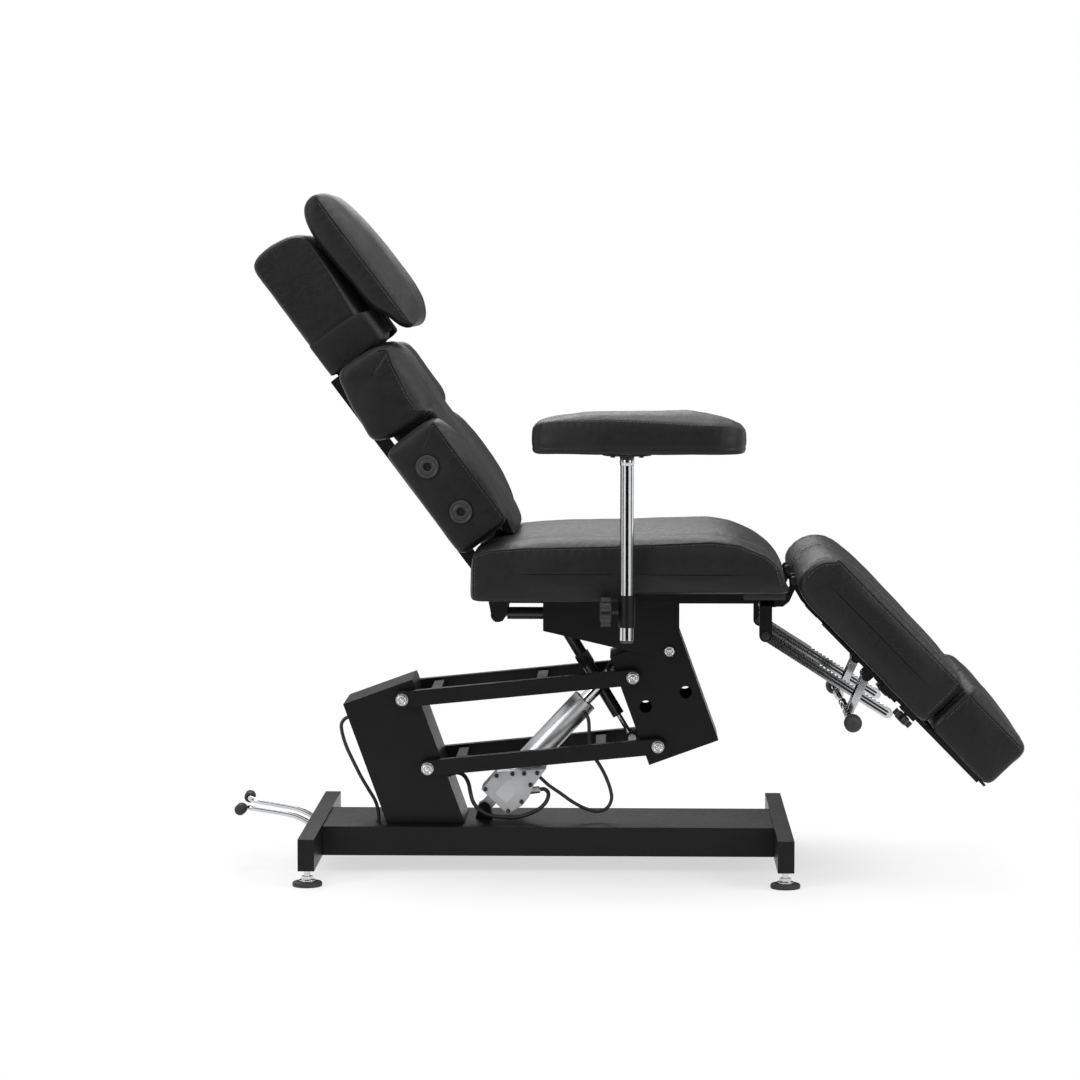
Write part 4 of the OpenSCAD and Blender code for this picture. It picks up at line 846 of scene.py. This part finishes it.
LOWER_SIDE = [(-16.6, 93), (94, 93), (112, 128), (122, 162), (128, 208), (128, 256), (122, 295), (112, 320), (94, 335),
              (-16.6, 335)]
LOWER_STATIONS = [(1.0, 0.0, 1.0), (4, 0.12), (9, 0.25), (17, 0.41), (29, 0.56), (44, 0.66), (58, 0.67), (70, 0.61),
                  (82, 0.49), (92, 0.34), (98.5, 0.22, 0.6), (101, 0.16, 2.4), (103.5, 0.18, 0.6), (110, 0.24),
                  (124, 0.30), (150, 0.33), (190, 0.34), (240, 0.35)]
SOCKETS = [(34, 161, 22), (34, 266, 22)]
lower = Cushion(LOWER_SIDE, 255, (1, 0), back_edge([(0, 94)], 7), LOWER_STATIONS, ((42, 135), (42, 293)), on_back, 2.2,
                9, dimples=SOCKETS)
mesh, edges, channels = upholster("lower_back_upholstery", lower, 0.25, (0.8, 18, 0.9), 4.5)
finish_pad("lower_back_upholstery", mesh, "back", "lower_back_pad")
piping("lower_back_piping", edges, 1.9, "back")
piping("lower_back_channel_piping", channels, 1.4, "back")
stitches("lower_back_stitching", mesh, edges, "back", 4.5)
stitches("lower_back_channel_stitching", mesh, channels, "back", 3.6)

# middle back pad

MID_SIDE = [(-26, 371), (-24, 365), (6, 347), (79, 341), (84, 340), (112, 344), (124, 352), (128, 372), (128, 458),
            (123, 484), (108, 494.5), (94, 504.5), (24, 511.2), (7, 510.2), (-5, 499.5), (-11, 467), (-17, 447),
            (-19, 417)]
MID_STATIONS = [(1.0, 0.0, 1.0), (4, 0.16), (9, 0.32), (16, 0.50), (26, 0.68), (38, 0.79), (50, 0.81), (60, 0.74),
                (70, 0.60), (78, 0.44), (83.5, 0.32, 0.6), (86, 0.26, 2.4), (88.5, 0.28, 0.6), (94, 0.34), (108, 0.40),
                (135, 0.43), (170, 0.44), (200, 0.45)]
MID_EDGE = [(341, 82), (395, 83), (461, 95), (494, 106)]
middle = Cushion(MID_SIDE, 210, (1, 0), back_edge(MID_EDGE, 8), MID_STATIONS, ((45, 392), (45, 462)), on_back,
                 3.0, 12)
mesh, edges, channels = upholster("middle_back_upholstery", middle, 0.25, (0.9, 17, 1.1), 4.5)
finish_pad("middle_back_upholstery", mesh, "back", "mid_back_pad")
piping("middle_back_piping", edges, 1.9, "back")
piping("middle_back_channel_piping", channels, 1.4, "back")
stitches("middle_back_stitching", mesh, edges, "back", 4.5)

# the band down the middle of the back, over the gap between its pads

BAND_SIDE = [(64, 62), (88, 60), (98, 70), (104.5, 98), (110, 150), (113, 230), (113, 320), (114, 346), (116, 372),
             (119, 420), (119, 465), (112, 494), (96, 507), (60, 507), (60, 404), (4, 392), (4, 324), (60, 312)]
BAND_STATIONS = [(1.0, 0.0, 1.0), (4, 0.22), (9, 0.46), (16, 0.70), (26, 0.88), (40, 0.97), (60, 1), (90, 1), (112, 1)]


def band_edge(p, n):
    return Vector((-15.0 * smooth(n.x, 0.1, 0.6), 0)) - n * 2


band = Cushion(BAND_SIDE, 118, (1, 0), band_edge, BAND_STATIONS, ((84, 90), (84, 480)), on_back, 1.0, 9,
               rise=(0.0, 0.5, 0.8))
mesh, edges, _ = upholster("back_centre_band", band, 0.3, (0.5, 17, 1.0))
finish_pad("back_centre_band", mesh, "back", fill=0.7)
piping("back_centre_band_piping", edges, 1.3, "back")

# head block

HEAD_SIDE = [(17, 513), (-10, 518), (-16, 536), (-16, 764), (-5, 775), (34, 780), (92, 770), (108, 750), (114, 566),
             (114, 532), (108, 513), (88, 506)]
HEAD_STATIONS = [(0.8, 0.0, 0.8), (4, 0.20), (9, 0.38), (18, 0.60), (30, 0.80), (44, 0.92), (64, 0.98), (90, 1),
                 (120, 1)]
HEAD_EDGE = [(506, 76), (528, 79), (582, 88), (666, 97), (748, 103)]
WHOLE = -1.0  # a least share that takes a seam all the way round
head = Cushion(HEAD_SIDE, 150, (1, 0), back_edge(HEAD_EDGE, 7), HEAD_STATIONS, ((45, 560), (45, 720)), on_back,
               -0.5, 16)
mesh, edges, _ = upholster("head_block_upholstery", head, WHOLE, (0.4, 16, 0.7))
finish_pad("head_block_upholstery", mesh, "back", "head_block", fill=0.9)
piping("head_block_piping", edges, 1.6, "back", closed=True)


WELT_STEP, WELT_RADIUS = 0.006, 0.9
HEAD_WELT_Y, STRAP_WELT_Y = 150.2, 152.5


def welt(line, y):
    """A raised seam on a side of the backrest, through (t, s) points."""
    return tube(spline([on_back(t, s, y) for t, s in line], WELT_STEP), WELT_RADIUS * MM)


HEAD_SEAM = [(-9, 585), (30, 586), (60, 585), (82, 583)]
for side, sign in SIDES:
    add_mesh("head_block_seams_" + side, [welt([(t + shift, q + shift) for t, q in HEAD_SEAM], sign * HEAD_WELT_Y)
                                          for shift in (0, 3.2)], LEATHER, "back", "black_upholstery")

# the strap that holds the pillow to the head block: distance up from the board, distance from the centre plane,
# height on the back, thickness, half width

STRAP = [(121, 0, 541, 2.2, 25), (121, 60, 541, 2.2, 25), (120.5, 95, 541, 3, 26), (119, 118, 540, 5, 27),
         (115, 134, 540, 7, 28.5), (109, 145.5, 541, 7, 30.5), (101, 152.6, 542, 5, 32), (92, 153, 544, 3.6, 33.5),
         (80, 152.2, 545, 2.4, 34.5), (50, 151.6, 546, 1.8, 35), (10, 151.5, 546, 1.8, 35), (-8, 151.3, 547, 1.8, 35),
         (-15.5, 148.4, 547, 1.8, 35), (-18.0, 138, 547, 1.8, 35), (-18.2, 70, 547, 1.8, 35), (-18.2, 0, 547, 1.8, 35)]
wide = (on_back(0, 100, 0) - on_back(0, 0, 0)).normalized()
strap_half = [(on_back(t, q, -y), w, h) for t, y, q, w, h in STRAP]
strap = strap_half + [(Vector((p.x, -p.y, p.z)), w, h) for p, w, h in reversed(strap_half[:-1])]
strap_path, strap_thick, strap_wide = zip(*strap)
strap_piece = add_mesh("pillow_strap_leather", [strip(strap_path, wide, strap_wide, strap_thick)], LEATHER, "pillow",
                       "black_upholstery")
subdivision = strap_piece.modifiers.new("smooth", "SUBSURF")
subdivision.levels = subdivision.render_levels = 1
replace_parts(strap_piece, "pillow_strap")
STRAP_SEAM = [(25, 578), (23, 560), (21, 540), (20, 518)]
add_mesh("pillow_strap_seams", [welt([(t + shift, q) for t, q in STRAP_SEAM], sign * STRAP_WELT_Y)
                                for sign in (NEAR, FAR) for shift in (0, 3.6)], LEATHER, "pillow", "black_upholstery")

# head pillow

PILLOW_SIDE = [(121, 782), (136, 806), (168, 810), (184, 797), (191, 783), (197, 743), (202, 695), (203, 624),
               (202, 532), (185, 497), (158, 489), (140, 513), (140, 531), (122, 567), (113, 740)]
PILLOW_STATIONS = [(0.8, 0.0, 0.8), (4, 0.13), (9, 0.29), (17, 0.50), (28, 0.72), (40, 0.88), (54, 0.96), (75, 1),
                   (105, 1), (130, 1)]
pillow = Cushion(PILLOW_SIDE, 149, (1, 0), back_edge([(0, 165)], 7), PILLOW_STATIONS, ((150, 560), (152, 760)), on_back,
                 1.2, 14)
mesh, edges, _ = upholster("head_pillow_upholstery", pillow, 0.03, (0.6, 19, 1.0), 4.5)
finish_pad("head_pillow_upholstery", mesh, "pillow", "head_pillow", fill=0.7)
piping("head_pillow_piping", edges, 1.9, "pillow")
stitches("head_pillow_stitching", mesh, edges, "pillow", 4.5)

# leg rests

CALF_SIDE = [(34, -10), (-4, 2), (-15, 28), (-13, 60), (3, 86), (30, 102), (62, 106), (200, 105), (335, 104), (352, 89),
             (352, -10)]
FOOT_SIDE = [(357, -8), (357, 95), (365, 111), (385, 115), (465, 105), (512, 97), (522, 87), (518, 65), (518, -8)]
LEG_STATIONS = [(0.8, 0.0, 1.0), (3.5, 0.30), (8, 0.58), (14, 0.78), (18, 0.82, 0.5), (20.5, 0.80, 1.9),
                (23, 0.84, 0.5), (29, 0.94), (38, 1.0), (46, 0.97), (52.5, 0.86, 0.8), (55, 0.80, 2.6),
                (57.5, 0.86, 0.8), (63, 0.92), (74, 0.96), (90, 0.99), (115, 1), (135, 1)]


def leg_edge(level, rim):
    """The side panel stops at the level, and rim inside the outline round the ends."""
    def edge(p, n):
        inward = -n * rim
        if p.y <= level:
            return inward
        return inward.lerp(Vector((0, level - p.y)), smooth(n.y, 0.5, 0.95))
    return edge


def build_leg(kind, outline, level, spine, body, wrap):
    shape = Cushion(outline, 145, (0, 1), leg_edge(level, 9), LEG_STATIONS, spine, on_leg, 1.2, 13, wrap=wrap)
    mesh, edges, channels = upholster(kind + "_upholstery_near", shape, 0.1, (0.8, 16, 0.8), 4)
    far_mesh = mirrored(mesh, kind + "_upholstery_far")
    for side, data, sign in (("near", mesh, 1), ("far", far_mesh, -1)):
        carrier = body + "_" + side
        finish_pad(kind + "_upholstery_" + side, data, carrier, kind + "_pad_" + side)
        piping(kind + "_piping_" + side, edges, 1.5, carrier, sign=sign)
        stitches(kind + "_edge_stitching_" + side, mesh, edges, carrier, 4.2, sign)
        stitches(kind + "_channel_stitching_" + side, mesh, channels, carrier, 3.4, sign)


build_leg("calf", CALF_SIDE, 91, ((20, 45), (315, 45)), "leg", -0.55)
build_leg("foot", FOOT_SIDE, 90, ((395, 48), (482, 48)), "foot", -0.1)

# armrest

ARM_PLAN = [(-24, -388), (-6, -408), (96, -424), (196, -430), (320, -430), (356, -416), (370, -390), (370, -280),
            (356, -254), (320, -240), (196, -240), (96, -246), (-6, -262), (-24, -282)]
ARM_TOP = [(-24, 871), (-14, 883), (0, 888), (60, 892), (150, 894), (260, 895), (320, 892), (352, 884), (370, 868)]
ARM_SEAM = [(-24, 867), (-10, 878), (20, 883), (110, 885), (200, 882), (280, 877), (340, 876), (362, 871), (370, 861)]
# share of the way to the spine, height, distance inside the plan
ARM_RINGS = [(1.0, 820.6, 0), (0.6, 820.4, 0), (0.3, 820.4, 0), (0, 820.4, 17), (0, 820.8, 7), (0, 823.5, 2.6),
             (0, 828, 1.0), (0, 831.5, 1.0), (0, 833, 2.0), (0, 834.5, 0.8), (0, 839, 0.2), (0, 847, 0)]
# share of the height from the wall's top (0) by the seam (1) to the crown (2), distance inside the plan
ARM_CROWN = [(0.30, 0.5), (0.62, 0.8), (0.86, 1.6), (0.95, 2.6), (1.0, 4.6), (1.10, 5.0), (1.24, 8), (1.42, 14),
             (1.62, 25), (1.80, 42)]
ARM_INNER = [(0.25, 1.95), (0.5, 1.985), (0.75, 2.0), (0.98, 2.0), (1, 2.0)]
ARM_WALL, ARM_INSET = 847, 42


def arm_shape():
    """The armrest's points, faces and pins, and its seam."""
    pts, _ = rounded_outline(ARM_PLAN, 30)
    spine = ((55, -335), (285, -335))
    points, pins = [], []

    def ring(f, d, height, pinned=0.0):
        for p in pts:
            goal = nearest_on(spine, p)
            p = (p + (goal - p).normalized() * d).lerp(goal, f)
            points.append(point(*p, height(p.x)))
            pins.append(pinned)

    def crown(share):
        def height(x):
            seam, top = along(ARM_SEAM, x), along(ARM_TOP, x)
            return ARM_WALL + (seam - ARM_WALL) * share if share <= 1 else seam + (top - seam) * (share - 1)
        return height

    for f, z, d in ARM_RINGS:
        ring(f, d, lambda x: z, 1.0)
    for share, d in ARM_CROWN:
        if share == 1.0:
            seam_row = len(points)
        ring(0, d, crown(share), 1.0 if share == 1.0 else 0.0)
    for f, share in ARM_INNER:
        ring(f, ARM_INSET, crown(share))
    n = len(pts)
    seam = points[seam_row:seam_row + n]
    return points, walls(range(0, len(points), n), n), pins, seam + seam[:1]


*arm, arm_seam = arm_shape()
mesh = pad_mesh("armrest_upholstery", *arm, [arm_seam], (0.5, 15, 0.7), 3)
finish_pad("armrest_upholstery", mesh, "armrest_pad", "armrest_pad")
stitches("armrest_stitching", mesh, [arm_seam], "armrest_pad", -3.4)
stitches("armrest_stitching_upper", mesh, [arm_seam], "armrest_pad", 3.6)

ARM_POST = point(151, -335, 0)
ARM_PLATE = [(815.2, 13.4), (815.2, 44), (816.2, 46), (819.2, 46), (819.9, 45), (819.9, 13.4), (815.2, 13.4)]
PLATE_SCREW = [(815.6, 4.6), (813.4, 4.6), (812.6, 3.6), (812.6, 1.9), (814, 1.7), (814, 0)]
ARM_COLLAR = [(797, 12.6), (797, 13.0), (797.4, 13.3), (819.6, 13.3), (819.6, 0)]
SCREW_CIRCLE, SCREW_ANGLES = 0.037, (0.785, 2.356, 3.927, 5.498)
screw_places = [ARM_POST + Vector((SCREW_CIRCLE * math.cos(a), SCREW_CIRCLE * math.sin(a), 0)) for a in SCREW_ANGLES]
add_mesh("armrest_plate", [lathe(ARM_PLATE, ARM_POST, UP, 64)] + [lathe(PLATE_SCREW, p, UP, 24) for p in screw_places],
         PAINT, "armrest_pad", "black_steel")
add_mesh("armrest_collar", [lathe(ARM_COLLAR, ARM_POST, UP)], CHROME, "armrest_pad", "chrome")


# ---- small parts ----

def prism(verts):
    """A solid between two outlines, given one after the other."""
    n = len(verts) // 2
    return verts, caps(n, n) + walls([0, n], n)


# the grooves along the ratchet bars, which fall from their pivots
BAR_X, BAR_Z = 415, 463
BAR_FALL = math.radians(32.5)
BAR_COS, BAR_SIN = math.cos(BAR_FALL), math.sin(BAR_FALL)
GROOVE_FACES = ((147.0, 146.2), (153.8, 153.0))
GROOVE_EDGES = ((-5.6, -1.4), (0.6, 4.4))
GROOVE_FROM, GROOVE_TO, GROOVE_POINT = 16, 274, 3
for side, sign in SIDES:
    body = "ratchet_bar_" + side
    parts = []
    for faces_y in GROOVE_FACES:
        for low, high in GROOVE_EDGES:
            middle = (low + high) / 2
            corners = [(GROOVE_FROM, low), (GROOVE_TO, low), (GROOVE_TO + GROOVE_POINT, middle), (GROOVE_TO, high),
                       (GROOVE_FROM, high), (GROOVE_FROM - GROOVE_POINT, middle)]
            parts.append(prism([point(BAR_X + BAR_COS * x + BAR_SIN * z, sign * y, BAR_Z - BAR_SIN * x + BAR_COS * z)
                                for y in faces_y for x, z in corners]))
    add_mesh(body + "_grooves", parts, GUNMETAL, body, "black_steel", flat=True)

SOCKET_FACE = 258.2
SOCKET_RING = [(-0.3, 8.0), (0.8, 7.7), (2.2, 8.2), (3.0, 9.6), (3.4, 11.4), (2.8, 13.0), (1.6, 14.0), (1.3, 16.4),
               (2.0, 18.4), (3.2, 19.4), (3.2, 20.8), (1.8, 21.8), (-0.3, 22.0), (-0.3, 8.0)]
for side, sign in SIDES:
    bezels = [lathe(SOCKET_RING, on_back(t, s, sign * SOCKET_FACE), (0, sign, 0), 56) for t, s, _ in SOCKETS]
    add_mesh("socket_bezels_" + side, bezels, PLASTIC, "back", "black_plastic")

FOOT_COVER = [(0.05, 26.1), (0.05, 27.6), (2, 28.2), (6, 28.2), (8.2, 26.6), (8.6, 24), (8.6, 17.2), (7.2, 16.2),
              (7.1, 26.1), (0.05, 26.1)]
PEDAL_ROD = [(-408, 40, 51.5), (-440, 40, 67.5), (-466, 40, 81), (-480, 40, 89), (-493, 40.3, 95), (-508, 41, 99.3),
             (-540, 42, 105), (-570, 43.5, 110), (-582, 46, 112.3), (-589, 51, 113.8), (-593, 58, 114.7),
             (-594.5, 66, 115), (-595, 74, 115)]
PEDAL_HUB = [(0, 6.4), (0, 10.4), (0.6, 11), (13.4, 11), (14, 10.4), (14, 6.4), (0, 6.4)]
GRIP_RIBS = [(5 + 4.6 * k + d, 10.2 + e) for k in range(6) for d, e in ((0, 0), (0.9, 0.6), (2.6, 0.6), (3.5, 0))]
GRIP = [(-0.5, 5.4), (-0.6, 8.2), (0.4, 9.4), (2.6, 10.1)] + GRIP_RIBS + [(33, 10.1), (35.6, 8.6), (36.8, 6), (37, 0)]
LEVER_GRIP = [(-0.5, 6.4), (-0.5, 9.6), (3.6, 13.6), (9, 15.9), (14, 16.7), (26.4, 16.7), (35.6, 13.6), (39.2, 9.4),
              (39.9, 7), (39.9, 0)]
POST_CAP = [(468.4, 0), (468.4, 10.8), (469.2, 12.0), (470.4, 12.35), (472.9, 12.35), (472.9, 0)]
for side, sign in SIDES:
    for end, x in (("head", -449.5), ("toe", 449.5)):
        body = "levelling_foot_" + end + "_" + side
        cover = lathe(FOOT_COVER, point(x, sign * 272, 0), UP, 56)
        add_mesh(body + "_rubber", [cover], RUBBER, body, "black_plastic")
    body = "pedal_" + side
    rod = tube(spline([point(x, sign * y, z) for x, y, z in PEDAL_ROD], PATH_STEP), 5.6 * MM, 20)
    hub = lathe(PEDAL_HUB, point(-400, sign * 33, 47.5), (0, sign, 0), 40)
    toe = strip([point(x, sign * 40, 47) for x in (-391, -390, -376, -362, -361)], Vector((0, 1, 0)),
                [4, 5, 5, 5, 4], [5, 6, 6, 6, 5])
    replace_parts(add_mesh(body + "_rod", [rod, hub, toe], CHROME, body, "chrome"), body)
    grip = lathe(GRIP, point(-595, sign * 62, 115), (-0.05, sign, 0), 40)
    add_mesh(body + "_grip", [grip], RUBBER, body, "black_plastic")
    body = "release_lever_" + side
    grip = lathe(LEVER_GRIP, across_chair([on_leg(255, -104, 121)], -sign)[0], (0, sign, 0), 40)
    add_mesh(body + "_grip", [grip], RUBBER, body, "black_plastic")
add_mesh("armrest_post_cap", [lathe(POST_CAP, ARM_POST, UP)], PLASTIC, "armrest_post", "black_plastic")

# the pivot bolts' faces
BOLT_FACE = [(-0.2, 7.4), (-0.2, 9.6), (0.5, 9.6), (1.3, 8.7), (1.3, 7.6), (0.4, 7.0), (0.3, 6.6), (-0.2, 6.6)]
BOLT_EYE = [(-0.2, 5.2), (1.6, 5.0), (2.2, 4.2), (2.2, 2.9), (0.9, 2.6), (0.9, 0)]
# x, z, distance from the centre plane on the near side, and on the far side
PIVOTS = {
    "base": [(-281, 332, 115.6, 118.6), (-232.43, 198.56, 115.6, 118.6)],
    "carriage": [(162.83, 375.99, 115.6, 118.6), (211.4, 242.55, 115.6, 118.6), (233, 426, 96, 96)],
}
for body, pivots in PIVOTS.items():
    for side, sign in SIDES:
        places = [point(x, sign * (near if sign == NEAR else far), z) for x, z, near, far in pivots]
        add_mesh(body + "_bolt_faces_" + side, [lathe(profile, place, (0, sign, 0), sides) for place in places
                                                for profile, sides in ((BOLT_FACE, 40), (BOLT_EYE, 6))],
                 CHROME, body, "chrome")

# the actuator's screws and its bare label
REAR_PIN_X, REAR_PIN_Z = -127, 108
LIFT_X, LIFT_Z = Vector((0.6814, 0, 0.7319)), Vector((-0.7319, 0, 0.6814))


def on_lift(x, y, z):
    """A point of the actuator: x along it from its rear pin, z up across it."""
    return point(REAR_PIN_X, y, REAR_PIN_Z) + (LIFT_X * x + LIFT_Z * z) * MM


COVER_FACE, LABEL_FACES = -50, (-47.9, -48.6)
LABEL_X, LABEL_Z, LABEL_LONG, LABEL_WIDE = 62, -8, 21, 15
COVER_SCREWS = [(34, 26), (68, 28), (92, 8), (108, -8), (126, -26), (100, -32), (64, -42), (33, -35)]
SCREW = [(-0.2, 4.2), (1.2, 4.2), (2.0, 3.5), (2.0, 1.9), (0.9, 1.7), (0.9, 0)]
add_mesh("gearbox_screws", [lathe(SCREW, on_lift(x, COVER_FACE, z), (0, -1, 0), 24) for x, z in COVER_SCREWS], GUNMETAL,
         "lift_actuator", "chrome")
LABEL_CORNERS = [(-1, -0.8), (-0.9, -1), (0.9, -1), (1, -0.8), (1, 0.8), (0.9, 1), (-0.9, 1), (-1, 0.8)]
label = [on_lift(LABEL_X + a * LABEL_LONG, y, LABEL_Z + b * LABEL_WIDE) for y in LABEL_FACES for a, b in LABEL_CORNERS]
add_mesh("gearbox_label", [prism(label)], LABEL, "lift_actuator", "grey_aluminium", flat=True)


# ---- stage and light ----

WHITE = (1, 1, 1, 1)
FLOOR_REACH, FLOOR_SIDES, FLOOR_DROP = 3.2, 72, 0.0005


def floor_finish():
    """Pale, and whiter where the camera or a reflection sees it, the more so away from the chair."""
    g = Graph(bpy.data.materials.new("pale_floor"))
    plain = g.add("ShaderNodeBsdfDiffuse", {"Color": (0.93, 0.93, 0.93, 1)})
    glow = g.add("ShaderNodeEmission", {"Color": WHITE, "Strength": 1.0})
    away = g.add("ShaderNodeVectorMath", operation="LENGTH")
    g.link(g.add("ShaderNodeTexCoord"), "Object", away, 0)
    fade = g.span(away, "Value", 0.62, 1.0, 0.35, 1.15)
    fade.interpolation_type = "SMOOTHSTEP"
    share = g.add("ShaderNodeMath", operation="MULTIPLY")
    g.link(fade, "Result", share, 0)
    g.link(g.seen_plainly(), "Value", share, 1)
    g.mixed(share, plain, glow)
    return g.owner


floor_edge = [(FLOOR_REACH * math.cos(math.tau * k / FLOOR_SIDES), FLOOR_REACH * math.sin(math.tau * k / FLOOR_SIDES),
               -FLOOR_DROP) for k in range(FLOOR_SIDES)]
add_mesh("floor", [(floor_edge, [tuple(range(FLOOR_SIDES))])], floor_finish(), flat=True)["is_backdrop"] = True

scene.world = bpy.data.worlds.new("studio")
world = Graph(scene.world, "ShaderNodeOutputWorld")
world.mixed(world.seen_plainly(), world.add("ShaderNodeBackground", {"Color": WHITE, "Strength": 0.55}),
            world.add("ShaderNodeBackground", {"Color": WHITE, "Strength": 1.0}))

# name, place, what it is turned to, width, height, power
SOFTBOXES = [
    ("overhead", (0.1, 0.3, 3.4), (0.05, 0.0, 0.5), 3.2, 2.4, 95),
    ("front_left", (-3.2, -3.6, 2.2), (0, 0, 0.6), 1.6, 2.2, 60),
    ("front_right", (3.6, -3.0, 1.8), (0, 0, 0.6), 1.4, 2.0, 34),
    ("key_right", (3.4, -1.3, 2.9), (-0.2, 0, 0.8), 1.3, 1.3, 46),
    ("rear_rim", (-0.6, 3.6, 2.6), (0, 0, 0.8), 2.6, 1.6, 42),
]
for name, place, aim, width, height, power in SOFTBOXES:
    lamp = bpy.data.lights.new(name, "AREA")
    lamp.shape = "RECTANGLE"
    lamp.size, lamp.size_y, lamp.energy = width, height, power
    piece = bpy.data.objects.new(name, lamp)
    scene.collection.objects.link(piece)
    piece.location = place
    piece.rotation_euler = (Vector(aim) - Vector(place)).to_track_quat("-Z", "Y").to_euler()

# dark studio cards that only reflections see, upright and turned to the chair: name, middle, width, height, tone
DARK_CARDS = [
    ("front_card", (0.4, -7.6, 0.9), 7.0, 5.6, 0.01), ("left_card", (-6.2, -2.6, 1.2), 2.6, 4.4, 0.01),
    ("right_card", (6.2, -1.4, 1.2), 2.2, 4.4, 0.01), ("rear_card", (0.2, 6.6, 2.8), 9.0, 5.6, 0.12),
]
for name, middle, width, height, tone in DARK_CARDS:
    card = Graph(bpy.data.materials.new(name))
    card.link(card.add("ShaderNodeBsdfDiffuse", {"Color": (tone, tone, tone, 1)}), "BSDF", card.out, "Surface")
    side = Vector((-middle[1], middle[0], 0)).normalized() * width / 2
    foot, head = UP * -height / 2, UP * height / 2
    corners = [Vector(middle) + a + b for a, b in ((-side, foot), (side, foot), (side, head), (-side, head))]
    piece = add_mesh(name, [(corners, [(0, 1, 2, 3)])], card.owner, flat=True)
    piece.visible_camera = piece.visible_diffuse = piece.visible_shadow = piece.visible_transmission = False
    piece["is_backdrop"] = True

scene.view_settings.view_transform = "Standard"

low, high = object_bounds()
